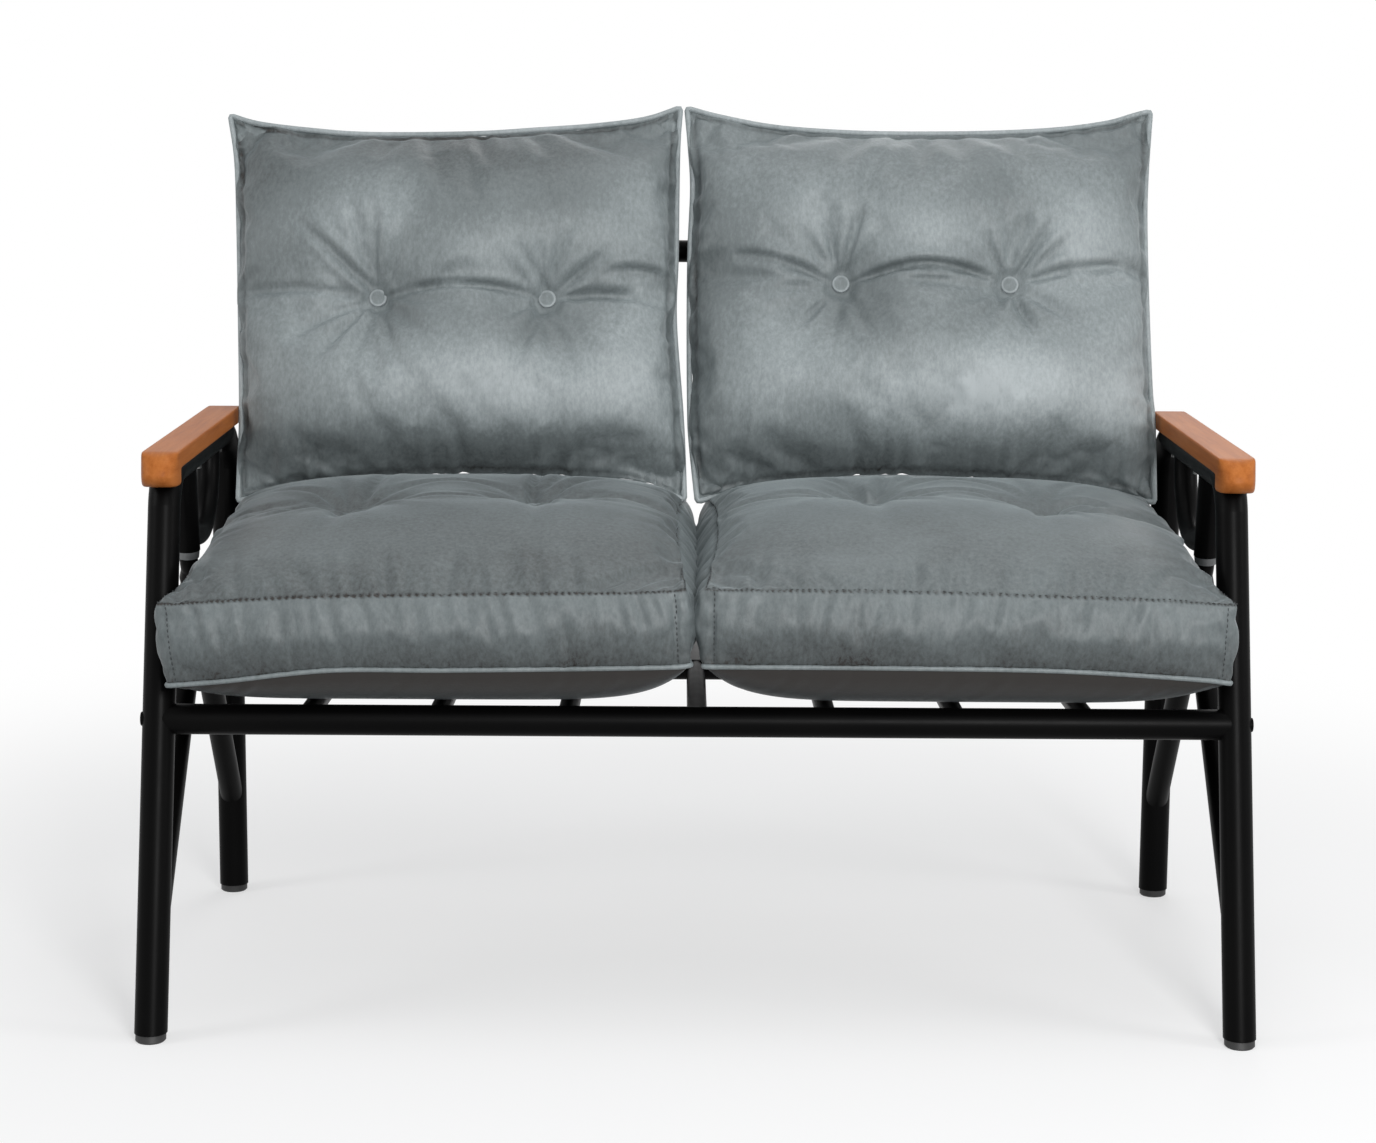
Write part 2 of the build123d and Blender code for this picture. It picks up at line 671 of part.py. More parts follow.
# Seat cushions: lofts through side-view sections of lines, arcs and a high-shouldered top line,
# fullest in the middle.
seat_underside = rail_tube / 2 + soft_gap
seat_outer_x = leg_face_x - cushion_side_gap
seat_inner_x = cushion_middle_gap / 2
seat_rear_limit_y = rear_leg_y - post_tube / 2 - cushion_rear_gap
seat_front_y = seat_point(-seat_cushion_overhang, seat_underside + seat_cushion_rear_seam_high)[0]
seat_rear = (seat_rear_limit_y - seat_front_y) / cosine(seat_slope)
seat_half_width = (seat_outer_x - seat_inner_x) / 2
seat_sides = (("left", -1, left_seat_tuft_shift), ("right", 1, right_seat_tuft_shift))
for side, outward, tuft_shift in seat_sides:
    seat_mid_x = outward * (seat_outer_x + seat_inner_x) / 2
    tuft_xs = [seat_mid_x + tuft_shift + half * tuft_spacing / 2 for half in (-1, 1)]
    tuft_point = seat_point(
        seat_tuft_place - seat_cushion_overhang,
        seat_underside + seat_tuft_height + seat_tuft_radius,
    )
    with BuildPart() as seat_cushion:
        for place, fullness in zip(seat_section_shares, seat_fullness_shares):
            section_x = seat_mid_x + place * seat_half_width
            section_plane = Plane(
                origin=at(section_x, seat_point(-seat_cushion_overhang, seat_underside)),
                x_dir=(0, cosine(seat_slope), -sine(seat_slope)),
                z_dir=(1, 0, 0),
            )
            draw = seat_cushion_corner_draw * (1 - fullness)
            low = seat_cushion_end_rise * (1 - fullness)
            crown_rise = seat_cushion_crown_rise - seat_cushion_end_drop * (1 - fullness)
            front_low = (draw, seat_cushion_front_seam_low)
            front_high = (draw, seat_cushion_front_seam_high)
            rear_low = (seat_rear - draw, seat_cushion_rear_seam_low)
            rear_high = (seat_rear - draw, seat_cushion_rear_seam_high)
            seam_run = seat_rear - 2 * draw
            seam_rise = seat_cushion_rear_seam_high - seat_cushion_front_seam_high
            top_points = [
                (draw + share * seam_run, seat_cushion_front_seam_high + share * seam_rise + rise * crown_rise)
                for share, rise in zip(seat_top_place_shares, seat_top_rise_shares)
            ]
            flat_front = (seat_cushion_flat_front, low)
            flat_rear = (seat_cushion_flat_rear, low)
            with BuildSketch(section_plane):
                with BuildLine():
                    Line(flat_front, flat_rear)
                    SagittaArc(flat_rear, rear_low, -seat_cushion_bulge)
                    Line(rear_low, rear_high)
                    Spline(rear_high, *reversed(top_points), front_high)
                    SagittaArc(front_high, front_low, -seat_cushion_bulge)
                    SagittaArc(front_low, flat_front, -seat_cushion_bulge)
                make_face()
        loft()
        with Locations([at(x, tuft_point) for x in tuft_xs]):
            Sphere(seat_tuft_radius, mode=Mode.SUBTRACT)
    seat_cushion.part.label = f"{side}_seat_cushion"
    export_step(seat_cushion.part, f"parts/{side}_seat_cushion.step")

# Back cushions: lofts through lens sections, with the side edges drawn in by a shallow arc and
# two deep dimples, each with a flat seat for its button.
back_outer_x = leg_x - armrest_width / 2 - cushion_side_gap
back_spans = {
    "left": (-back_outer_x, back_cushion_meeting - cushion_middle_gap / 2, left_button_line),
    "right": (back_cushion_meeting + cushion_middle_gap / 2, back_outer_x, right_button_line),
}
for side, (start_x, end_x, button_line) in back_spans.items():
    back_mid_x = (start_x + end_x) / 2
    back_half_width = (end_x - start_x) / 2
    button_seat = back_cushion_front_crown - button_depth
    dimple_point = back_point(button_line, button_seat + button_dimple_radius)
    button_plane = Plane(
        origin=at(back_mid_x, back_point(button_line, button_seat - button_inset)),
        x_dir=(1, 0, 0),
        z_dir=(0, -cosine(recline), sine(recline)),
    )
    face_plane = Plane(
        origin=at(back_mid_x, back_foot), x_dir=(1, 0, 0), z_dir=(0, -cosine(recline), sine(recline))
    )
    with BuildPart() as back_cushion:
        for place, crown_share, draw_share in zip(back_section_shares, back_crown_shares, back_draw_shares):
            section_plane = Plane(
                origin=at(back_mid_x + place * back_half_width, back_foot),
                x_dir=(0, sine(recline), cosine(recline)),
                z_dir=(1, 0, 0),
            )
            seam_half = back_cushion_seam / 2
            front = seam_half + (back_cushion_front_crown - seam_half) * crown_share
            rear = seam_half + (back_cushion_rear_crown - seam_half) * crown_share
            top = back_cushion_height - back_cushion_top_draw * draw_share
            front_points = [
                (share * top, rise * front) for share, rise in zip(back_front_place_shares, back_front_rise_shares)
            ]
            with BuildSketch(section_plane):
                with BuildLine():
                    Spline((0, 0), *front_points, (top, 0))
                    ThreePointArc((top, 0), (top / 2, -rear), (0, 0))
                make_face()
        loft()
        for edge in (-1, 1):
            edge_x = edge * back_half_width
            out_x = edge_x + edge * overrun
            draw_x = edge_x - edge * back_cushion_side_draw
            low, high = back_cushion_side_draw, back_cushion_height - back_cushion_side_draw
            with BuildSketch(face_plane):
                with BuildLine():
                    Polyline((edge_x, high), (out_x, high), (out_x, low), (edge_x, low))
                    ThreePointArc((edge_x, low), (draw_x, back_cushion_height / 2), (edge_x, high))
                make_face()
            extrude(amount=back_cushion_front_crown, both=True, mode=Mode.SUBTRACT)
        with Locations([at(back_mid_x + half * tuft_spacing / 2, dimple_point) for half in (-1, 1)]):
            Sphere(button_dimple_radius, mode=Mode.SUBTRACT)
        with BuildSketch(button_plane):
            with Locations((-tuft_spacing / 2, 0), (tuft_spacing / 2, 0)):
                Circle(button_diameter / 2 + plug_gap)
        extrude(amount=button_dimple_radius, mode=Mode.SUBTRACT)
    back_cushion.part.label = f"{side}_back_cushion"
    export_step(back_cushion.part, f"parts/{side}_back_cushion.step")

    # Covered buttons, two to a cushion, one beside the other.
    with BuildPart() as back_buttons:
        with BuildSketch(button_plane):
            with Locations((-tuft_spacing / 2, 0), (tuft_spacing / 2, 0)):
                Circle(button_diameter / 2)
        extrude(amount=button_height)
        button_axis = Axis(button_plane.origin, button_plane.z_dir)
        fillet(back_buttons.edges().group_by(button_axis)[-1], button_edge)
    back_buttons.part.label = f"{side}_back_buttons"
    export_step(back_buttons.part, f"parts/{side}_back_buttons.step")
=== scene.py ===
import bpy
import json
import math
import numpy as np
from mathutils import Matrix, Vector
from mathutils.kdtree import KDTree


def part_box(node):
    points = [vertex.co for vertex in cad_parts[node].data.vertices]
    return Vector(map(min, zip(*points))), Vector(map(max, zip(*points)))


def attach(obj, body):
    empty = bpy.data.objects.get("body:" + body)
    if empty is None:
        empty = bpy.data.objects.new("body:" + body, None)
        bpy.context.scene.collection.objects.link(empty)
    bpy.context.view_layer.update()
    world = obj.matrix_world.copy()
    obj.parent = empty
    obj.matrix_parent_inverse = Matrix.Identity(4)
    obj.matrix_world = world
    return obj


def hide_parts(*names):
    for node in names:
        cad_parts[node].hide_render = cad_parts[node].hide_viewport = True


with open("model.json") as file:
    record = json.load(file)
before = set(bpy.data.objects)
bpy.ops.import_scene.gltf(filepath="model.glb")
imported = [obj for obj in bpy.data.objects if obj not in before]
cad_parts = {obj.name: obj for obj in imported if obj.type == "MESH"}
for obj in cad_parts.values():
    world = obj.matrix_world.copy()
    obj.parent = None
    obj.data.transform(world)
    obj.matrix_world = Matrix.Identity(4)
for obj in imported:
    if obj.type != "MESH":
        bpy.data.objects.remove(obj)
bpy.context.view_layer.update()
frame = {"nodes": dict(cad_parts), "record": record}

node_slots = {part["node"]: part["material_slot"] for part in frame["record"]["subparts"]}
bpy.ops.object.select_all(action="DESELECT")

# Viewpoint: the eye stands at chest height in front of the bench and looks a little down on it,
# through a long lens.
lens_mm = 77.70
eye = Vector((-0.0163, -3.0751, 0.9218))
eye_pitch = 0.1653
eye_yaw = 0.0023
eye_roll = 0.0062
ahead = Vector(
    (math.sin(eye_yaw) * math.cos(eye_pitch), math.cos(eye_yaw) * math.cos(eye_pitch), -math.sin(eye_pitch))
)
level = Vector((math.cos(eye_yaw), -math.sin(eye_yaw), 0.0))
upright = level.cross(ahead)
eye_right = level * math.cos(eye_roll) + upright * math.sin(eye_roll)
eye_up = upright * math.cos(eye_roll) - level * math.sin(eye_roll)
camera_data = bpy.data.cameras.new("camera")
camera_data.lens = lens_mm
camera_data.clip_end = 50.0
camera = bpy.data.objects.new("camera", camera_data)
bpy.context.scene.collection.objects.link(camera)
camera.matrix_world = Matrix(
    (
        (eye_right.x, eye_up.x, -ahead.x, eye.x),
        (eye_right.y, eye_up.y, -ahead.y, eye.y),
        (eye_right.z, eye_up.z, -ahead.z, eye.z),
        (0.0, 0.0, 0.0, 1.0),
    )
)
bpy.context.scene.camera = camera
bpy.context.scene.view_settings.view_transform = "Standard"

# Studio: a plain pale floor under the bench that turns into the white surround further out. One
# lamp stands in front, beside the eye, and broad soft ones hang overhead, at each side and behind.
def seen_directly(tree):
    """1 for camera, glossy and transmission rays, which see the white background, else 0."""
    ray = tree.nodes.new("ShaderNodeLightPath")
    seen = ray.outputs["Is Camera Ray"]
    for kind in ("Is Glossy Ray", "Is Transmission Ray"):
        either = tree.nodes.new("ShaderNodeMath")
        either.operation = "MAXIMUM"
        tree.links.new(seen, either.inputs[0])
        tree.links.new(ray.outputs[kind], either.inputs[1])
        seen = either.outputs[0]
    return seen


floor_size = 40.0
shade_radius = 0.55
white_radius = 1.9
white_share_inside = 0.5
bpy.ops.mesh.primitive_plane_add(size=floor_size, location=(0, 0, 0))
floor = bpy.context.active_object
floor.name = "floor"
floor_paint = bpy.data.materials.new("floor_paint")
floor_paint.use_nodes = True
tree = floor_paint.node_tree
floor_shader = tree.nodes["Principled BSDF"]
floor_tone = tree.nodes.new("ShaderNodeMix")
floor_tone.data_type = "RGBA"
floor_tone.inputs["A"].default_value = (0.34, 0.34, 0.34, 1)
floor_tone.inputs["B"].default_value = (0.95, 0.95, 0.95, 1)
tree.links.new(seen_directly(tree), floor_tone.inputs["Factor"])
tree.links.new(floor_tone.outputs["Result"], floor_shader.inputs["Base Color"])
floor_shader.inputs["Roughness"].default_value = 0.9
floor_shader.inputs["Specular IOR Level"].default_value = 0.1
floor_place = tree.nodes.new("ShaderNodeTexCoord")
from_bench = tree.nodes.new("ShaderNodeVectorMath")
from_bench.operation = "LENGTH"
further_out = tree.nodes.new("ShaderNodeMapRange")
further_out.interpolation_type = "SMOOTHERSTEP"
further_out.inputs["From Min"].default_value = shade_radius
further_out.inputs["From Max"].default_value = white_radius
further_out.inputs["To Min"].default_value = white_share_inside
surround = tree.nodes.new("ShaderNodeEmission")
surround.inputs["Color"].default_value = (1, 1, 1, 1)
surround.inputs["Strength"].default_value = 1.0
share = tree.nodes.new("ShaderNodeMath")
share.operation = "MULTIPLY"
floor_mix = tree.nodes.new("ShaderNodeMixShader")
tree.links.new(floor_place.outputs["Object"], from_bench.inputs[0])
tree.links.new(from_bench.outputs["Value"], further_out.inputs["Value"])
tree.links.new(further_out.outputs["Result"], share.inputs[0])
tree.links.new(seen_directly(tree), share.inputs[1])
tree.links.new(share.outputs[0], floor_mix.inputs[0])
tree.links.new(floor_shader.outputs[0], floor_mix.inputs[1])
tree.links.new(surround.outputs[0], floor_mix.inputs[2])
tree.links.new(floor_mix.outputs[0], tree.nodes["Material Output"].inputs["Surface"])
floor.data.materials.append(floor_paint)

studio = bpy.data.worlds.new("studio")
studio.use_nodes = True
bpy.context.scene.world = studio
tree = studio.node_tree
dim = tree.nodes["Background"]
dim.inputs["Color"].default_value = (0.95, 0.97, 1.0, 1)
dim.inputs["Strength"].default_value = 0.36
white = tree.nodes.new("ShaderNodeBackground")
white.inputs["Color"].default_value = (1, 1, 1, 1)
white.inputs["Strength"].default_value = 1.0
chooser = tree.nodes.new("ShaderNodeMixShader")
tree.links.new(seen_directly(tree), chooser.inputs[0])
tree.links.new(dim.outputs[0], chooser.inputs[1])
tree.links.new(white.outputs[0], chooser.inputs[2])
tree.links.new(chooser.outputs[0], tree.nodes["World Output"].inputs["Surface"])

# place, aim, width and watts of each lamp
lamps = {
    "lamp_overhead": ((0.3, -0.3, 2.9), (0.0, 0.0, 0.4), 1.2, 15.0),
    "lamp_front": ((0.75, -3.2, 1.45), (0.0, 0.0, 0.55), 0.8, 68.0),
    "lamp_left": ((-2.5, -0.9, 1.5), (0.0, 0.0, 0.5), 0.8, 12.0),
    "lamp_right": ((2.6, -0.9, 1.5), (0.0, 0.0, 0.5), 0.8, 14.0),
    "lamp_back": ((0.5, 2.6, 2.1), (0.0, 0.0, 0.6), 1.5, 16.0),
}
for lamp_name, (place, aim, width, watts) in lamps.items():
    lamp_data = bpy.data.lights.new(lamp_name, "AREA")
    lamp_data.size = width
    lamp_data.energy = watts
    lamp = bpy.data.objects.new(lamp_name, lamp_data)
    lamp.location = place
    lamp.rotation_euler = (Vector(aim) - Vector(place)).to_track_quat("-Z", "Y").to_euler()
    bpy.context.scene.collection.objects.link(lamp)


# Steel frame: welded round tube, powder coated black with a satin face and a very fine
# orange-peel texture.
def start_finish(name):
    """A new material, its node tree, its shader and the Object coordinates it reads."""
    finish = bpy.data.materials.new(name)
    finish.use_nodes = True
    tree = finish.node_tree
    place = tree.nodes.new("ShaderNodeTexCoord").outputs["Object"]
    return finish, tree, tree.nodes["Principled BSDF"], place


def stretch(tree, place, scale, turn=(0, 0, 0)):
    """Object coordinates stretched and turned for a pattern."""
    mapping = tree.nodes.new("ShaderNodeMapping")
    mapping.inputs["Scale"].default_value = scale
    mapping.inputs["Rotation"].default_value = turn
    tree.links.new(place, mapping.inputs["Vector"])
    return mapping.outputs["Vector"]


def noise(tree, place, scale, detail=3.0, roughness=0.5, distortion=0.0):
    """The grey value of a noise pattern."""
    texture = tree.nodes.new("ShaderNodeTexNoise")
    texture.inputs["Scale"].default_value = scale
    texture.inputs["Detail"].default_value = detail
    texture.inputs["Roughness"].default_value = roughness
    texture.inputs["Distortion"].default_value = distortion
    tree.links.new(place, texture.inputs["Vector"])
    return texture.outputs["Fac"]


def colours(tree, value, stops):
    """Colours chosen by a grey value, from (position, colour) stops."""
    ramp = tree.nodes.new("ShaderNodeValToRGB")
    elements = ramp.color_ramp.elements
    for end, (position, colour) in ((0, stops[0]), (1, stops[-1])):
        elements[end].position = position
        elements[end].color = (*colour, 1)
    for position, colour in stops[1:-1]:
        elements.new(position).color = (*colour, 1)
    tree.links.new(value, ramp.inputs["Fac"])
    return ramp.outputs["Color"]


def spread(tree, value, low, high):
    """A grey value spread to a new range."""
    ranger = tree.nodes.new("ShaderNodeMapRange")
    ranger.inputs["To Min"].default_value = low
    ranger.inputs["To Max"].default_value = high
    tree.links.new(value, ranger.inputs["Value"])
    return ranger.outputs["Result"]


def raise_surface(tree, shader, height, strength, distance, under=None):
    """Bump from a grey value, over another bump where one is given."""
    bump = tree.nodes.new("ShaderNodeBump")
    bump.inputs["Strength"].default_value = strength
    bump.inputs["Distance"].default_value = distance
    tree.links.new(height, bump.inputs["Height"])
    if under is not None:
        tree.links.new(under, bump.inputs["Normal"])
    tree.links.new(bump.outputs["Normal"], shader.inputs["Normal"])
    return bump.outputs["Normal"]


def dress(slot_name, finish):
    """Gives a finish to every CAD node of a material slot."""
    for node_name, node in frame["nodes"].items():
        if node_slots[node_name] == slot_name:
            for holder in node.material_slots:
                holder.material = finish


def coat(tree, shader, place, grain, tones, wear, roughness, detail=3.0):
    """Base colours that follow a noise of one scale, and a roughness that follows another's."""
    cloud = noise(tree, place, grain, detail)
    tree.links.new(colours(tree, cloud, tones), shader.inputs["Base Color"])
    tree.links.new(spread(tree, noise(tree, place, wear), *roughness), shader.inputs["Roughness"])


powder_coat, tree, shader, place = start_finish("powder_coat")
shader.inputs["Specular IOR Level"].default_value = 0.05
powder_tones = [(0.3, (0.0012, 0.0012, 0.0013)), (0.7, (0.0022, 0.0021, 0.0021))]
coat(tree, shader, place, 9.0, powder_tones, 40.0, (0.34, 0.44), detail=4.0)
raise_surface(tree, shader, noise(tree, place, 1400.0, 2.0), 0.12, 0.0002)
dress("black_steel", powder_coat)
dress("black_fastener", powder_coat)

# Foot plugs and ferrules: moulded plastic, the feet black and dull, the ferrules mid grey. The
# plugs are pressed into the ends of the legs, and a ferrule sits on the neck of each rear brace.
foot_plastic, tree, shader, place = start_finish("foot_plastic")
foot_tones = [(0.35, (0.010, 0.010, 0.010)), (0.75, (0.024, 0.024, 0.024))]
coat(tree, shader, place, 60.0, foot_tones, 300.0, (0.45, 0.62))
raise_surface(tree, shader, noise(tree, place, 2500.0, 2.0), 0.2, 0.0002)
dress("black_plastic", foot_plastic)

ferrule_plastic, tree, shader, place = start_finish("ferrule_plastic")
ferrule_tones = [(0.3, (0.10, 0.105, 0.108)), (0.7, (0.16, 0.165, 0.168))]
coat(tree, shader, place, 80.0, ferrule_tones, 300.0, (0.35, 0.5))
raise_surface(tree, shader, noise(tree, place, 2200.0, 2.0), 0.15, 0.0002)
dress("grey_plastic", ferrule_plastic)

# Screws, nuts and inserts: zinc-plated steel with fine turning marks. The screws hold the armrests
# from below, the nuts the back posts, and the threaded inserts the rails.
zinc, tree, shader, place = start_finish("zinc")
shader.inputs["Metallic"].default_value = 1.0
zinc_tones = [(0.3, (0.20, 0.20, 0.20)), (0.7, (0.30, 0.30, 0.29))]
coat(tree, shader, place, 500.0, zinc_tones, 900.0, (0.25, 0.45))
turning_marks = noise(tree, stretch(tree, place, (900, 60, 60)), 1.0)
raise_surface(tree, shader, turning_marks, 0.2, 0.0002)
dress("zinc_fastener", zinc)


# Rail bolts: black steel bolts with a low head, rounded at its rim. One goes through each leg into
# the threaded insert in the end of a seat rail.
def edit_faces(piece, wanted):
    """Opens a piece in edit mode with only those faces selected that pass a test."""
    bpy.context.tool_settings.mesh_select_mode = (False, False, True)
    for part in (*piece.data.vertices, *piece.data.edges):
        part.select = False
    for face in piece.data.polygons:
        face.select = wanted(face)
    bpy.ops.object.mode_set(mode="EDIT")
    bpy.ops.mesh.select_mode(type="FACE")


def copy_of(model, name):
    """A copy of a modelled piece, with a mesh of its own."""
    piece = model.copy()
    piece.data = model.data.copy()
    piece.name = name
    bpy.context.scene.collection.objects.link(piece)
    return piece


# the solids' heads stand out from the legs by rail_bolt_cad_head, and these by rail_bolt_proud
rail_bolt_low, rail_bolt_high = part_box("rail_bolts")
rail_bolt_cad_head = 0.0050
rail_bolt_proud = 0.0015
rail_bolt_head = 0.0140
rail_bolt_thick = 0.0040
rail_bolt_shank = 0.0080
rail_bolt_length = 0.0440
rail_bolt_rounding = 0.0010
bpy.ops.object.select_all(action="DESELECT")
bpy.ops.mesh.primitive_cylinder_add(vertices=40, radius=rail_bolt_head / 2, depth=rail_bolt_thick)
rail_bolt_model = bpy.context.active_object
edit_faces(rail_bolt_model, lambda face: face.normal.z < -0.9)
bpy.ops.mesh.inset(thickness=(rail_bolt_head - rail_bolt_shank) / 2)
bpy.ops.mesh.extrude_region_move(TRANSFORM_OT_translate={"value": (0, 0, -rail_bolt_length)})
bpy.ops.object.mode_set(mode="OBJECT")
edit_faces(rail_bolt_model, lambda face: face.normal.z > 0.9)
bpy.ops.mesh.bevel(offset=rail_bolt_rounding, segments=4, affect="EDGES")
bpy.ops.object.mode_set(mode="OBJECT")
rail_bolt_model.data.shade_smooth()
bpy.ops.object.shade_smooth_by_angle(angle=math.radians(35))
rail_bolt_model.data.materials.append(powder_coat)
bpy.context.scene.collection.objects.unlink(rail_bolt_model)
rail_bolt_middle = rail_bolt_high[0] - rail_bolt_cad_head + rail_bolt_proud - rail_bolt_thick / 2
rail_bolt_places = {
    "front": (rail_bolt_low[1] + rail_bolt_head / 2, rail_bolt_high[2] - rail_bolt_head / 2),
    "rear": (rail_bolt_high[1] - rail_bolt_head / 2, rail_bolt_low[2] + rail_bolt_head / 2),
}
for side, sign in (("left", -1), ("right", 1)):
    for end, (y, z) in rail_bolt_places.items():
        bolt = copy_of(rail_bolt_model, f"{side}_{end}_rail_bolt")
        turn = Matrix.Rotation(sign * math.pi / 2, 4, "Y")
        bolt.data.transform(Matrix.Translation((sign * rail_bolt_middle, y, z)) @ turn)
        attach(bolt, "frame")
        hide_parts("rail_bolts")

# Armrests: solid hardwood caps, oiled, with straight grain along the arm and a few darker
# growth streaks. The nose is carved rounder and deeper and laps over the bend of the hoop.
oiled_wood, tree, shader, place = start_finish("oiled_wood")
grain = noise(tree, stretch(tree, place, (38.0, 2.4, 38.0)), 3.2, 8.0, 0.62, 0.25)
fibres = noise(tree, stretch(tree, place, (420.0, 9.0, 420.0)), 2.0, 4.0, 0.6)
pores = noise(tree, stretch(tree, place, (900.0, 40.0, 900.0)), 1.6, 2.0, 0.5)
mixer = tree.nodes.new("ShaderNodeMath")
mixer.operation = "MULTIPLY_ADD"
mixer.inputs[1].default_value = 0.35
tree.links.new(fibres, mixer.inputs[0])
tree.links.new(grain, mixer.inputs[2])
wood_tones = [
    (0.38, (0.25, 0.068, 0.014)),
    (0.52, (0.35, 0.104, 0.023)),
    (0.66, (0.41, 0.130, 0.031)),
    (0.84, (0.47, 0.160, 0.042)),
]
tree.links.new(colours(tree, mixer.outputs[0], wood_tones), shader.inputs["Base Color"])
tree.links.new(spread(tree, fibres, 0.34, 0.46), shader.inputs["Roughness"])
shader.inputs["Specular IOR Level"].default_value = 0.06
grain_bump = raise_surface(tree, shader, fibres, 0.12, 0.0004)
raise_surface(tree, shader, pores, 0.1, 0.0002, grain_bump)
dress("wood", oiled_wood)

arm_low, arm_high = (Vector(corner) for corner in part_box("left_armrest"))
arm_middle = (arm_low + arm_high) / 2
arm_size = arm_high - arm_low
arm_thickness = 0.018
arm_nose_length = 0.0415
arm_throat = arm_low.y + arm_nose_length
arm_under = arm_high.z - arm_thickness
side_margin = 0.004
rear_margin = 0.005
bpy.ops.object.select_all(action="DESELECT")
bpy.ops.mesh.primitive_cube_add(
    size=1,
    location=(arm_middle.x, arm_middle.y, arm_high.z - arm_thickness / 2),
    scale=(arm_size.x, arm_size.y, arm_thickness),
)
armrest_model = bpy.context.active_object
bpy.ops.object.transform_apply(location=True, rotation=True, scale=True)
bpy.ops.object.mode_set(mode="EDIT")
bpy.ops.mesh.select_mode(type="FACE")
bpy.ops.mesh.select_all(action="SELECT")
bpy.ops.mesh.bisect(plane_co=(0, arm_throat, 0), plane_no=(0, 1, 0))
bpy.ops.object.mode_set(mode="OBJECT")
edit_faces(armrest_model, lambda face: face.normal.z < -0.5 and face.center.y < arm_throat)
bpy.ops.mesh.extrude_region_move(TRANSFORM_OT_translate={"value": (0, 0, arm_thickness - arm_size.z)})
# rows of edges that hold the shape where the cap is smoothed: across, along and up
for axis, cuts in enumerate(
    (
        (arm_low.x + side_margin, arm_high.x - side_margin),
        (arm_low.y + 0.024, arm_throat - 0.006, arm_throat + 0.008, arm_high.y - rear_margin),
        (arm_high.z - 0.0045, arm_under + 0.003, arm_low.z + 0.007),
    )
):
    way = [float(axis == other) for other in range(3)]
    for cut in cuts:
        bpy.ops.mesh.select_all(action="SELECT")
        bpy.ops.mesh.bisect(plane_co=[cut * share for share in way], plane_no=way)
bpy.ops.object.mode_set(mode="OBJECT")
# how far down the nose's front each row lies, and how far it goes back and up
nose_rows = (
    (0.0, 0.0120, -0.0035),
    (0.0045, 0.0070, -0.0040),
    (0.0150, 0.0028, 0.0010),
    (0.0180, 0.0012, -0.0015),
    (0.0270, 0.0000, 0.0025),
    (0.0340, 0.0090, 0.0000),
)
corner_width_share = 0.86
inner_width_share = 0.62
corner_set_back = 0.0080
for vertex in armrest_model.data.vertices:
    if vertex.co.y < arm_low.y + 0.0001:
        drop = arm_high.z - vertex.co.z
        _, back, up = min(nose_rows, key=lambda row: abs(row[0] - drop))
        aside = vertex.co.x - arm_middle.x
        at_corner = abs(aside) > arm_size.x / 2 - 0.001
        vertex.co.x = arm_middle.x + aside * (corner_width_share if at_corner else inner_width_share)
        vertex.co.y += back + (corner_set_back if at_corner else 0.0)
        vertex.co.z += up
smoother = armrest_model.modifiers.new("smoother", "SUBSURF")
smoother.levels = 3
smoother.render_levels = 3
bpy.ops.object.modifier_apply(modifier=smoother.name)
armrest_model.data.materials.append(oiled_wood)
armrest_model.data.shade_smooth()
bpy.context.scene.collection.objects.unlink(armrest_model)
for side in ("left", "right"):
    armrest = copy_of(armrest_model, f"{side}_armrest_cap")
    sideways = (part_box(f"{side}_armrest")[0][0] - arm_low.x, 0, 0)
    armrest.data.transform(Matrix.Translation(sideways))
    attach(armrest, "frame")
    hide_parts(f"{side}_armrest")


# Velvet: grey-blue short pile, brushed unevenly at random, so it shows light and dark patches and a soft
# sheen at its edges.
# The cushions also carry painted light and shade, lighter where light falls and darker where shade lies, in
# an attribute that is added to the pile's tone.
velvet, tree, shader, place = start_finish("velvet")
nap_and_painted_light = noise(tree, place, 11.0, 4.0, 0.5, 0.4)
brushed = noise(tree, stretch(tree, place, (1.0, 1.0, 0.5)), 240.0, 5.0, 0.7)
pile = noise(tree, place, 900.0, 3.0, 0.7)
blend = tree.nodes.new("ShaderNodeMath")
blend.operation = "MULTIPLY_ADD"
blend.inputs[1].default_value = 0.55
tree.links.new(brushed, blend.inputs[0])
tree.links.new(spread(tree, nap_and_painted_light, 0.02, 0.43), blend.inputs[2])
# the attribute of painted light and shade, added to the random pile tone
painted_light_mark = tree.nodes.new("ShaderNodeAttribute")
painted_light_mark.attribute_name = "nap_and_painted_light"
brushed_and_painted_tone = tree.nodes.new("ShaderNodeMath")
brushed_and_painted_tone.operation = "ADD"
tree.links.new(blend.outputs[0], brushed_and_painted_tone.inputs[0])
tree.links.new(painted_light_mark.outputs["Fac"], brushed_and_painted_tone.inputs[1])
# the darkest, brownish stops are reached only where painted shade is added, as on the seats' bellies
velvet_tones = [
    (0.00, (0.016, 0.013, 0.011)),
    (0.08, (0.055, 0.062, 0.063)),
    (0.30, (0.112, 0.130, 0.133)),
    (0.50, (0.158, 0.182, 0.186)),
    (0.70, (0.240, 0.272, 0.278)),
    (1.00, (0.390, 0.428, 0.438)),
]
tree.links.new(colours(tree, brushed_and_painted_tone.outputs[0], velvet_tones), shader.inputs["Base Color"])
shader.inputs["Roughness"].default_value = 0.50
shader.inputs["Specular IOR Level"].default_value = 0.42
shader.inputs["Sheen Weight"].default_value = 0.22
shader.inputs["Sheen Roughness"].default_value = 0.38
shader.inputs["Sheen Tint"].default_value = (0.74, 0.84, 0.88, 1)
nap_bump = raise_surface(tree, shader, brushed, 0.22, 0.0012)
raise_surface(tree, shader, pile, 0.35, 0.0005, nap_bump)


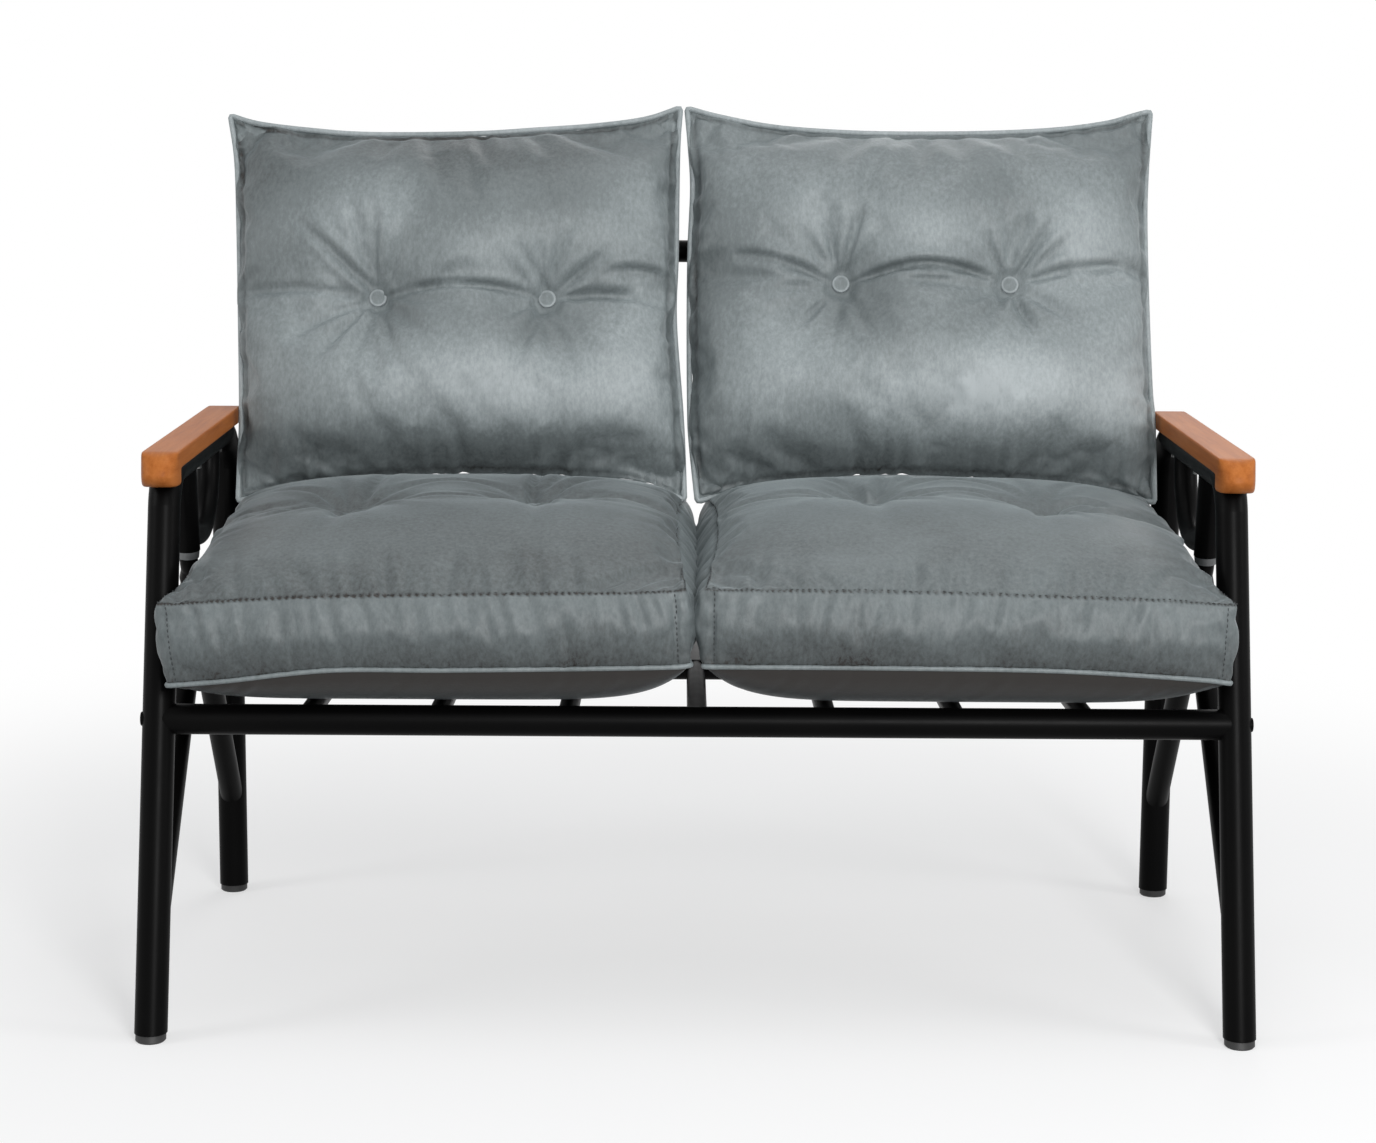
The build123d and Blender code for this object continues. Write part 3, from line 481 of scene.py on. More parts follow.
# Back cushions: two velvet panels sewn together all round over a soft filling, drawn in
# between their corners, with a welt in the seam and two buttons pulled deep into the front.
def through(points, shares):
    """Places at shares of the length of a smooth line through the points."""
    points = np.array(points, float)
    ends = np.vstack([2 * points[0] - points[1], points, 2 * points[-1] - points[-2]])
    dense = []
    for a, b, c, d in zip(ends[:-3], ends[1:-2], ends[2:-1], ends[3:]):
        slope, bend, twist = c - a, 2 * a - 5 * b + 4 * c - d, 3 * b - a - 3 * c + d
        for t in np.linspace(0, 1, 40, endpoint=False):
            dense.append(0.5 * (2 * b + slope * t + bend * t**2 + twist * t**3))
    dense = np.array(dense + [points[-1]])
    run = np.concatenate([[0], np.cumsum(np.linalg.norm(np.diff(dense, axis=0), axis=1))])
    return np.stack([np.interp(shares, run / run[-1], dense[:, k]) for k in range(dense.shape[1])], axis=1)


def between_edges(low, high, left, right, across, upward):
    """A grid of places that fills four edge lines, which share their corners."""
    u, v = across[:, None, None], upward[None, :, None]
    flat = (1 - v) * low[:, None] + v * high[:, None] + (1 - u) * left[None] + u * right[None]
    corners = (1 - u) * (1 - v) * low[0] + u * (1 - v) * low[-1] + (1 - u) * v * high[0] + u * v * high[-1]
    return flat - corners


def denser_at_ends(count):
    """Shares from 0 to 1 that lie closer together at both ends."""
    even = np.linspace(-1, 1, count)
    return 0.5 + 0.5 * (0.55 * np.sin(even * math.pi / 2) + 0.45 * even)


def fullness(share, squareness, power):
    """How full a stuffed panel is, from 0 at its seams to 1 in its middle."""
    return np.maximum(0, 1 - np.abs(2 * share - 1) ** squareness) ** power


def ridge(distance, width):
    """1 in the middle of a soft ridge or groove, falling to 0 beyond its width."""
    return np.exp(-((distance / width) ** 2))


def edge_ring(columns, rows):
    """The places round the edge of a grid, in order: front, right, rear and left."""
    ring = [(i, 0) for i in range(columns)] + [(columns - 1, j) for j in range(1, rows)]
    ring += [(i, rows - 1) for i in range(columns - 2, -1, -1)]
    return ring + [(0, j) for j in range(rows - 2, 0, -1)]


def panel_faces(outer_index, inner_index):
    """The faces of two panels that lie back to back, each facing outwards."""
    faces = []
    columns, rows = outer_index.shape
    for i in range(columns - 1):
        for j in range(rows - 1):
            a, b, c, d = (i, j), (i + 1, j), (i + 1, j + 1), (i, j + 1)
            faces.append([int(outer_index[k]) for k in (a, b, c, d)])
            faces.append([int(inner_index[k]) for k in (d, c, b, a)])
    return faces


def make_piece(name, places, faces, finish):
    """A new smooth piece from its corners and faces."""
    mesh = bpy.data.meshes.new(name)
    mesh.from_pydata([tuple(p) for p in places], [], faces)
    mesh.validate()
    mesh.materials.append(finish)
    mesh.shade_smooth()
    piece = bpy.data.objects.new(name, mesh)
    bpy.context.scene.collection.objects.link(piece)
    return piece


def apply_modifier(piece, modifier):
    """Applies one modifier, with only this piece selected."""
    bpy.ops.object.select_all(action="DESELECT")
    piece.select_set(True)
    bpy.context.view_layer.objects.active = piece
    bpy.ops.object.modifier_apply(modifier=modifier.name)
    piece.select_set(False)


def read_places(piece):
    """Where each point of a piece lies."""
    places = np.empty(len(piece.data.vertices) * 3)
    piece.data.vertices.foreach_get("co", places)
    return places.reshape(-1, 3)


def read_normals(piece):
    """Which way the surface faces at each point of a piece."""
    normals = np.empty(len(piece.data.vertices) * 3)
    piece.data.vertices.foreach_get("normal", normals)
    return normals.reshape(-1, 3)


def write_places(piece, places):
    """Moves the points of a piece to new places."""
    piece.data.vertices.foreach_set("co", np.asarray(places, float).ravel())
    piece.data.update()


def stuff(piece, sewn, pressure, slack, cap):
    """Blows a sewn cover up like a filled one: its seams stay where they are, the cloth between
    them has some slack, and no point moves further than the cap."""
    frames = 20
    before = read_places(piece)
    group = piece.vertex_groups.new(name="sewn")
    group.add([int(i) for i in sewn], 1.0, "ADD")
    cloth = piece.modifiers.new("cloth", "CLOTH")
    cloth.settings.quality = 5
    cloth.settings.mass = 0.2
    cloth.settings.tension_stiffness = 12
    cloth.settings.compression_stiffness = 12
    cloth.settings.shear_stiffness = 4
    cloth.settings.bending_stiffness = 0.35
    cloth.settings.air_damping = 2
    cloth.settings.use_pressure = True
    cloth.settings.uniform_pressure_force = pressure
    cloth.settings.shrink_min = -slack
    cloth.settings.vertex_group_mass = "sewn"
    cloth.settings.effector_weights.gravity = 0
    cloth.collision_settings.use_collision = False
    cloth.collision_settings.use_self_collision = False
    cloth.point_cache.frame_start = 1
    cloth.point_cache.frame_end = frames
    for step in range(1, frames + 1):
        bpy.context.scene.frame_set(step)
    apply_modifier(piece, cloth)
    bpy.context.scene.frame_set(1)
    piece.vertex_groups.clear()
    moved = read_places(piece) - before
    length = np.linalg.norm(moved, axis=1, keepdims=True)
    write_places(piece, before + moved * np.minimum(1, cap / np.maximum(length, 1e-9)))


def sharpen(piece, seams, weight):
    """Keeps the edges of a seam crisp when the mesh is halved."""
    crease = piece.data.attributes.new("crease_edge", "FLOAT", "EDGE")
    weights = [weight if frozenset(edge.vertices) in seams else 0.0 for edge in piece.data.edges]
    crease.data.foreach_set("value", weights)


def refine(piece):
    """Halves the mesh of a piece smoothly."""
    smoother = piece.modifiers.new("smoother", "SUBSURF")
    smoother.levels = 1
    smoother.render_levels = 1
    apply_modifier(piece, smoother)


def crease_depth(flat, creases):
    """How far each place of a panel is drawn in by its creases, each a start, middle and end, a
    width, a depth and a fade. A crease that fades is deepest at its start, and one with no fade is
    deep from end to end. Both have a soft ridge on each side."""
    depth = np.zeros(len(flat))
    for start, middle, end, width, deep, fade in creases:
        t = np.linspace(0, 1, 36)[:, None]
        line = (1 - t) ** 2 * np.array(start) + 2 * t * (1 - t) * np.array(middle) + t**2 * np.array(end)
        away = np.linalg.norm(flat[:, None] - line[None], axis=2)
        nearest = away.argmin(axis=1)
        gap = away[np.arange(len(flat)), nearest]
        along = t[nearest, 0]
        if fade:
            strength = deep * (1 - along) ** fade
        else:
            strength = deep * np.sin(math.pi * np.clip(along, 0.03, 0.97)) ** 0.5
        depth += strength * (ridge(gap, width) - 0.4 * ridge(gap - 2.1 * width, 1.3 * width))
    return depth


def puckers(flat, centre, deep, reach, phase):
    """Fine folds that run out from a point where the cloth is pulled in."""
    away = flat - np.array(centre)
    distance = np.linalg.norm(away, axis=1)
    turn = np.arctan2(away[:, 1], away[:, 0])
    wave = np.sin(7 * turn + phase) + 0.8 * np.sin(11 * turn + 2.1 * phase + 0.6)
    wave += 0.7 * np.sin(17 * turn + 3.7 * phase)
    uneven = 0.65 + 0.35 * np.sin(3 * turn + 1.3 * phase)
    near = np.clip((distance - 0.008) / 0.012, 0, 1)
    return deep * 0.5 * wave * uneven * near * np.exp(-((distance / reach) ** 1.6))


def gathers(along, from_seam, deep, reach, pitch, phase):
    """Small uneven puckers that run square to a seam and die out away from it."""
    wave = np.sin(2 * math.pi * along / pitch + phase)
    wave += 0.7 * np.sin(2 * math.pi * along / (pitch * 0.61) + 2.3 * phase + 1.0)
    wave += 0.6 * np.sin(2 * math.pi * along / (pitch * 1.83) + 0.7 * phase + 2.0)
    uneven = 0.6 + 0.4 * np.sin(2 * math.pi * along / (pitch * 5.3) + 1.9 * phase)
    return deep * 0.45 * wave * uneven * np.exp(-((np.abs(from_seam) / reach) ** 1.5))


def painted_light_at(flat, patches):
    """How much light or shade is painted at each place of a panel, from patches that each have
    a place, a width, a height and an amount."""
    tone = np.zeros(len(flat))
    for x, y, wide, high, amount in patches:
        tone += amount * np.exp(-(((flat[:, 0] - x) / wide) ** 2) - ((flat[:, 1] - y) / high) ** 2)
    return tone


def write_painted_light(piece, tone):
    """Keeps painted light and shade on the piece, where the velvet reads it."""
    layer = piece.data.attributes.new("nap_and_painted_light", "FLOAT", "POINT")
    layer.data.foreach_set("value", np.zeros(len(piece.data.vertices)) + tone)


def past_line(flat, line, axis):
    """How far places of a panel lie past an edge line, along one axis."""
    other = 1 - axis
    return flat[:, axis] - np.interp(flat[:, other], line[:, other], line[:, axis])


def evened(line):
    """A closed line with its small kinks taken out."""
    return (np.roll(line, 1, axis=0) + line * 2 + np.roll(line, -1, axis=0)) / 4


def cord_along(name, line, radius, finish):
    """A round sewn-in cord that follows a closed line."""
    curve = bpy.data.curves.new(name, "CURVE")
    curve.dimensions = "3D"
    curve.bevel_depth = radius
    curve.bevel_resolution = 2
    spline = curve.splines.new("POLY")
    spline.points.add(len(line) - 1)
    spline.points.foreach_set("co", np.column_stack([line, np.ones(len(line))]).ravel())
    spline.use_cyclic_u = True
    holder = bpy.data.objects.new(name, curve)
    bpy.context.scene.collection.objects.link(holder)
    bpy.ops.object.select_all(action="DESELECT")
    holder.select_set(True)
    bpy.context.view_layer.objects.active = holder
    bpy.ops.object.convert(target="MESH")
    holder.select_set(False)
    holder.data.materials.clear()
    holder.data.materials.append(finish)
    holder.data.shade_smooth()
    return holder


back_recline = math.radians(18)
back_foot = np.array((0.0, 0.1651, 0.4650))
back_up = np.array((0.0, math.sin(back_recline), math.cos(back_recline)))
back_front = np.array((0.0, -math.cos(back_recline), math.sin(back_recline)))
back_crown = 0.068
back_rear_crown = 0.052
back_columns = 92
back_rows = 78
button_seat = 0.0360
welt_radius = 0.0031
back_cushions = {
    "left": {
        "top": [
            (-0.5255, 0.4310), (-0.4930, 0.4215), (-0.4360, 0.4145), (-0.3690, 0.4100),
            (-0.2550, 0.4115), (-0.1800, 0.4165), (-0.1120, 0.4220), (-0.0585, 0.4300),
            (-0.0200, 0.4435),
        ],
        "bottom": [
            (-0.5045, -0.0080), (-0.4600, 0.0020), (-0.3940, 0.0110), (-0.2920, 0.0200),
            (-0.2000, 0.0210), (-0.0720, 0.0150), (-0.0130, -0.0040),
        ],
        "left": [
            (-0.5045, -0.0080), (-0.5040, 0.0350), (-0.5035, 0.0900), (-0.5075, 0.1940),
            (-0.5125, 0.3070), (-0.5170, 0.3800), (-0.5255, 0.4310),
        ],
        "right": [
            (-0.0130, -0.0040), (-0.0170, 0.0840), (-0.0255, 0.1970), (-0.0240, 0.2720),
            (-0.0230, 0.3910), (-0.0200, 0.4435),
        ],
        "buttons": [(-0.3515, 0.2108), (-0.1655, 0.2108)],
        "seed": 1.0,
        "creases": [
            ((-0.338, 0.212), (-0.258, 0.232), (-0.180, 0.214), 0.0042, 0.0070, 0),
            ((-0.358, 0.220), (-0.400, 0.262), (-0.447, 0.300), 0.0050, 0.0090, 0.8),
            ((-0.355, 0.222), (-0.372, 0.275), (-0.385, 0.335), 0.0060, 0.0060, 0.8),
            ((-0.350, 0.224), (-0.356, 0.270), (-0.352, 0.320), 0.0045, 0.0045, 0.8),
            ((-0.345, 0.222), (-0.330, 0.262), (-0.318, 0.305), 0.0060, 0.0050, 0.8),
            ((-0.362, 0.206), (-0.410, 0.190), (-0.455, 0.160), 0.0050, 0.0060, 0.8),
            ((-0.360, 0.203), (-0.395, 0.165), (-0.425, 0.130), 0.0060, 0.0050, 0.9),
            ((-0.363, 0.212), (-0.430, 0.222), (-0.498, 0.222), 0.0050, 0.0045, 0.5),
            ((-0.348, 0.200), (-0.338, 0.165), (-0.325, 0.130), 0.0065, 0.0045, 0.9),
            ((-0.354, 0.200), (-0.372, 0.150), (-0.380, 0.110), 0.0070, 0.0040, 0.9),
            ((-0.341, 0.204), (-0.315, 0.180), (-0.290, 0.155), 0.0070, 0.0040, 0.9),
            ((-0.168, 0.222), (-0.182, 0.250), (-0.200, 0.272), 0.0045, 0.0050, 0.8),
            ((-0.162, 0.223), (-0.150, 0.262), (-0.135, 0.300), 0.0060, 0.0045, 0.8),
            ((-0.156, 0.219), (-0.128, 0.240), (-0.100, 0.262), 0.0050, 0.0055, 0.8),
            ((-0.154, 0.212), (-0.095, 0.224), (-0.036, 0.208), 0.0050, 0.0065, 0.35),
            ((-0.100, 0.240), (-0.070, 0.248), (-0.036, 0.240), 0.0050, 0.0035, 0),
            ((-0.157, 0.204), (-0.135, 0.185), (-0.115, 0.168), 0.0055, 0.0050, 0.8),
            ((-0.170, 0.200), (-0.188, 0.160), (-0.205, 0.120), 0.0070, 0.0045, 0.9),
            ((-0.163, 0.199), (-0.158, 0.150), (-0.150, 0.105), 0.0080, 0.0035, 0.9),
            ((-0.174, 0.205), (-0.205, 0.185), (-0.235, 0.160), 0.0060, 0.0035, 0.9),
        ],
        # painted light and shade: lighter patches where light falls on the front, darker ones where shade
        # lies
        "nap_and_painted_light": [
            (-0.357, 0.310, 0.060, 0.060, 0.22),
            (-0.250, 0.112, 0.170, 0.050, 0.42),
            (-0.055, 0.105, 0.060, 0.090, 0.26),
            (-0.220, 0.258, 0.075, 0.035, 0.26),
            (-0.430, 0.200, 0.055, 0.055, 0.16),
            (-0.060, 0.300, 0.040, 0.110, 0.14),
            (-0.290, 0.395, 0.260, 0.055, -0.32),
            (-0.490, 0.300, 0.045, 0.120, -0.10),
            (-0.250, 0.330, 0.045, 0.050, -0.10),
            (-0.260, 0.040, 0.300, 0.022, -0.26),
            (-0.325, 0.195, 0.030, 0.028, -0.14),
            (-0.165, 0.180, 0.045, 0.022, -0.10),
        ],
    },
    "right": {
        "top": [
            (-0.0130, 0.4430), (0.0240, 0.4330), (0.0850, 0.4215), (0.1575, 0.4160), (0.2330, 0.4145),
            (0.3270, 0.4160), (0.4030, 0.4205), (0.4590, 0.4285), (0.4890, 0.4375), (0.5080, 0.4425),
        ],
        "bottom": [
            (0.0010, -0.0060), (0.0360, 0.0050), (0.0800, 0.0130), (0.1900, 0.0225), (0.3000, 0.0205),
            (0.4000, 0.0140), (0.4600, 0.0080), (0.5045, -0.0040),
        ],
        "left": [
            (0.0010, -0.0060), (-0.0060, 0.0600), (-0.0080, 0.1000), (-0.0090, 0.2000),
            (-0.0085, 0.2800), (-0.0060, 0.3500), (-0.0090, 0.4000), (-0.0130, 0.4430),
        ],
        "right": [
            (0.5045, -0.0040), (0.5045, 0.0860), (0.5020, 0.1245), (0.5000, 0.2200), (0.4995, 0.3130),
            (0.5020, 0.3710), (0.5080, 0.4425),
        ],
        "buttons": [(0.1575, 0.2298), (0.3435, 0.2298)],
        "seed": 2.6,
        "creases": [
            ((0.172, 0.232), (0.250, 0.262), (0.328, 0.234), 0.0044, 0.0080, 0),
            ((0.150, 0.240), (0.125, 0.268), (0.104, 0.300), 0.0050, 0.0060, 0.8),
            ((0.154, 0.242), (0.145, 0.275), (0.138, 0.310), 0.0045, 0.0050, 0.8),
            ((0.160, 0.243), (0.170, 0.280), (0.182, 0.318), 0.0050, 0.0070, 0.7),
            ((0.163, 0.241), (0.185, 0.262), (0.205, 0.290), 0.0060, 0.0040, 0.9),
            ((0.145, 0.233), (0.095, 0.258), (0.038, 0.262), 0.0050, 0.0065, 0.35),
            ((0.145, 0.227), (0.095, 0.225), (0.050, 0.215), 0.0055, 0.0040, 0.8),
            ((0.148, 0.222), (0.125, 0.198), (0.108, 0.172), 0.0050, 0.0055, 0.8),
            ((0.155, 0.218), (0.150, 0.180), (0.140, 0.140), 0.0070, 0.0040, 0.9),
            ((0.162, 0.219), (0.176, 0.190), (0.192, 0.160), 0.0055, 0.0045, 0.9),
            ((0.168, 0.223), (0.195, 0.205), (0.215, 0.185), 0.0060, 0.0035, 0.9),
            ((0.336, 0.241), (0.322, 0.262), (0.310, 0.285), 0.0045, 0.0050, 0.8),
            ((0.342, 0.243), (0.340, 0.285), (0.335, 0.330), 0.0060, 0.0040, 0.9),
            ((0.350, 0.241), (0.372, 0.272), (0.394, 0.302), 0.0048, 0.0075, 0.7),
            ((0.352, 0.238), (0.385, 0.258), (0.410, 0.285), 0.0050, 0.0045, 0.8),
            ((0.355, 0.232), (0.410, 0.250), (0.465, 0.252), 0.0050, 0.0060, 0.4),
            ((0.430, 0.246), (0.455, 0.258), (0.486, 0.250), 0.0048, 0.0050, 0),
            ((0.355, 0.224), (0.385, 0.205), (0.415, 0.190), 0.0055, 0.0045, 0.8),
            ((0.348, 0.219), (0.362, 0.190), (0.372, 0.165), 0.0055, 0.0055, 0.8),
            ((0.338, 0.219), (0.318, 0.195), (0.298, 0.178), 0.0050, 0.0055, 0.8),
            ((0.334, 0.223), (0.300, 0.212), (0.275, 0.195), 0.0055, 0.0035, 0.9),
        ],
        # painted light and shade: lighter patches where light falls on the front, darker ones where shade
        # lies
        "nap_and_painted_light": [
            (0.130, 0.300, 0.045, 0.055, 0.22),
            (0.250, 0.285, 0.080, 0.032, 0.28),
            (0.420, 0.275, 0.065, 0.065, 0.32),
            (0.330, 0.108, 0.150, 0.054, 0.50),
            (0.070, 0.130, 0.060, 0.065, 0.26),
            (0.470, 0.130, 0.040, 0.080, 0.20),
            (0.180, 0.190, 0.055, 0.040, -0.12),
            (0.345, 0.195, 0.050, 0.025, -0.10),
            (0.250, 0.405, 0.260, 0.030, -0.05),
            (0.250, 0.038, 0.300, 0.020, -0.24),
            (0.000, 0.200, 0.030, 0.120, -0.18),
        ],
    },
}


def back_place(flat, forward):
    """Real places from places on the back plane and heights in front of it."""
    sideways = flat[:, :1] * np.array((1.0, 0, 0))
    return back_foot + sideways + flat[:, 1:2] * back_up + forward[:, None] * back_front


# one button: a flat disc covered with the velvet, its edge turned under. It sinks a little into
# the cloth and rides up with it.
button_radius = 0.0098
button_thickness = 0.0046
button_rounding = 0.0014
button_rim = 0.0018
button_sink = 0.0006
button_raise = 0.0023
# painted highlight: the rim of each button is painted lighter, the middle left near neutral
painted_rim_highlight = 0.34
middle_tone = 0.02
bpy.ops.object.select_all(action="DESELECT")
bpy.ops.mesh.primitive_cylinder_add(vertices=48, radius=button_radius, depth=button_thickness)
button_model = bpy.context.active_object
bpy.ops.object.mode_set(mode="EDIT")
bpy.ops.mesh.select_all(action="SELECT")
bpy.ops.mesh.bevel(offset=button_rounding, segments=4, affect="EDGES")
bpy.ops.object.mode_set(mode="OBJECT")
top_face = max(button_model.data.polygons, key=lambda face: face.center.z).index
edit_faces(button_model, lambda face: face.index == top_face)
bpy.ops.mesh.inset(thickness=button_rim)
bpy.ops.object.mode_set(mode="OBJECT")
button_places = read_places(button_model)
from_middle = np.hypot(button_places[:, 0], button_places[:, 1])
button_model.data.materials.append(velvet)
button_model.data.shade_smooth()
bpy.context.scene.collection.objects.unlink(button_model)

fold_above_buttons = 0.010
fold_width = 0.030
fold_depth = 0.010
dimple_width = 0.024
draw_width = 0.060
back_tied_reach = 0.0085
front_starts = 0.004
back_seam_hold = 0.004
crease_strength = 1.2
pucker_depth = 0.0038
pucker_reach = 0.078
groove_from_seam = 0.0062
groove_width = 0.0034
front_groove = 0.0024
rear_groove = 0.0008
# painted shade in the groove just inside the welt seam
painted_groove_shade = -0.24
flat_round_button = 0.0100
press_reach = 0.023
press_slope_width = 0.0125

for side, shape in back_cushions.items():
    across = denser_at_ends(back_columns)
    upward = denser_at_ends(back_rows)
    flat = between_edges(
        through(shape["bottom"], across),
        through(shape["top"], across),
        through(shape["left"], upward),
        through(shape["right"], upward),
        across,
        upward,
    )
    full = fullness(across, 2.6, 0.5)[:, None] * fullness(upward, 2.4, 0.52)[None, :]
    low_heavy = 1.06 - 0.16 * upward[None, :]
    front_height = back_crown * full * low_heavy
    rear_height = -back_rear_crown * full
    spots = shape["buttons"]
    fold_line = spots[0][1] + fold_above_buttons
    front_height = front_height - fold_depth * ridge(flat[:, :, 1] - fold_line, fold_width) * full
    for spot in spots:
        away = np.linalg.norm(flat - np.array(spot), axis=2)
        drop = front_height[np.unravel_index(away.argmin(), away.shape)] - button_seat
        dimple = 0.55 * np.exp(-((away / dimple_width) ** 1.5)) + 0.45 * ridge(away, draw_width)
        front_height = front_height - drop * dimple

    front_index = np.arange(back_columns * back_rows).reshape(back_columns, back_rows)
    rear_index = front_index.copy()
    inner = [(i, j) for i in range(1, back_columns - 1) for j in range(1, back_rows - 1)]
    for count, (i, j) in enumerate(inner):
        rear_index[i, j] = back_columns * back_rows + count
    front_flat = flat.reshape(-1, 2)
    rear_flat = np.array([flat[i, j] for i, j in inner])
    rear_heights = np.array([rear_height[i, j] for i, j in inner])
    places = np.vstack([back_place(front_flat, front_height.ravel()), back_place(rear_flat, rear_heights)])
    faces = panel_faces(front_index, rear_index)
    cushion = make_piece(f"{side}_back_pillow", places, faces, velvet)
    sewn = {int(front_index[k]) for k in edge_ring(back_columns, back_rows)}
    for spot in spots:
        away = np.linalg.norm(front_flat - np.array(spot), axis=1)
        sewn |= {int(k) for k in np.nonzero(away < back_tied_reach)[0]}
    stuff(cushion, sorted(sewn), 3.0, 0.05, 0.020)
    refine(cushion)

    places = read_places(cushion)
    normals = read_normals(cushion)
    local = places - back_foot
    flat_now = np.column_stack([local[:, 0], local @ back_up])
    on_front = local @ back_front > front_starts
    in_front = local @ back_front > 0
    shares = np.linspace(0, 1, 200)
    from_low = past_line(flat_now, through(shape["bottom"], shares), 1)
    from_top = -past_line(flat_now, through(shape["top"], shares), 1)
    from_left = past_line(flat_now, through(shape["left"], shares), 0)
    from_right = -past_line(flat_now, through(shape["right"], shares), 0)
    nearest_seam = np.abs([from_low, from_top, from_left, from_right]).min(axis=0)
    held = np.clip(nearest_seam / back_seam_hold, 0, 1)
    seed = shape["seed"]
    depth = np.where(on_front, crease_strength * crease_depth(flat_now, shape["creases"]), 0)
    for count, spot in enumerate(spots):
        drawn = puckers(flat_now, spot, pucker_depth, pucker_reach, seed + 1.7 * count)
        depth += np.where(on_front, drawn, 0)
    groove = np.where(in_front, front_groove, rear_groove)
    depth += groove * ridge(nearest_seam - groove_from_seam, groove_width)
    for along, from_seam, deep, reach, pitch, shift in (
        (0, from_low, 0.0040, 0.050, 0.026, 0),
        (0, from_top, 0.0018, 0.032, 0.034, 1),
        (1, from_left, 0.0014, 0.030, 0.030, 2),
        (1, from_right, 0.0016, 0.034, 0.027, 3),
    ):
        depth += held * gathers(flat_now[:, along], from_seam, deep, reach, pitch, seed + shift)
    places = places - normals * depth[:, None]
    for spot in spots:
        away = np.linalg.norm(flat_now - np.array(spot), axis=1)
        pressed = np.clip((press_reach - away) / press_slope_width, 0, 1)
        pressed = np.where(on_front, pressed**2 * (3 - 2 * pressed), 0)
        height = (places - back_foot) @ back_front
        target = button_seat + 0.10 * np.maximum(0, away - flat_round_button)
        places = places + ((target - height) * pressed)[:, None] * back_front
    write_places(cushion, places)
    # painted shade in the groove just inside the seam
    painted_groove_tone = painted_groove_shade * ridge(nearest_seam - 0.0060, 0.0030)
    # painted light and shade from the patches, with the painted groove shade, on the front panel only
    write_painted_light(cushion, np.where(in_front, painted_light_at(flat_now, shape["nap_and_painted_light"]) + painted_groove_tone, 0))
    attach(cushion, f"{side}_back_cushion")
    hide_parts(f"{side}_back_cushion")

    for count, spot in enumerate(spots):
        seat_place = back_place(np.array([spot]), np.array([button_seat - button_sink]))[0]
        seat_place += np.array((0, 0, button_raise))
        button = copy_of(button_model, f"{side}_back_button_{count + 1}")
        write_places(button, seat_place + button_places @ np.stack([(1.0, 0, 0), back_up, back_front]))
        write_painted_light(button, np.where(from_middle > button_radius - 0.0024, painted_rim_highlight, middle_tone))
        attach(button, f"{side}_back_cushion")
        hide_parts(f"{side}_back_buttons")

    seam_shares = np.linspace(0, 1, 130)
    seam_line = np.vstack(
        [
            through(shape["bottom"], seam_shares)[:-1],
            through(shape["right"], seam_shares)[:-1],
            through(shape["top"], seam_shares)[::-1][:-1],
            through(shape["left"], seam_shares)[::-1][:-1],
        ]
    )
    seam_places = back_place(seam_line, np.zeros(len(seam_line)))
    welt = cord_along(f"{side}_back_welt", evened(seam_places), welt_radius, velvet)
    # painted highlight: the welt is painted lighter along its whole length
    write_painted_light(welt, 0.30)
    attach(welt, f"{side}_back_cushion")

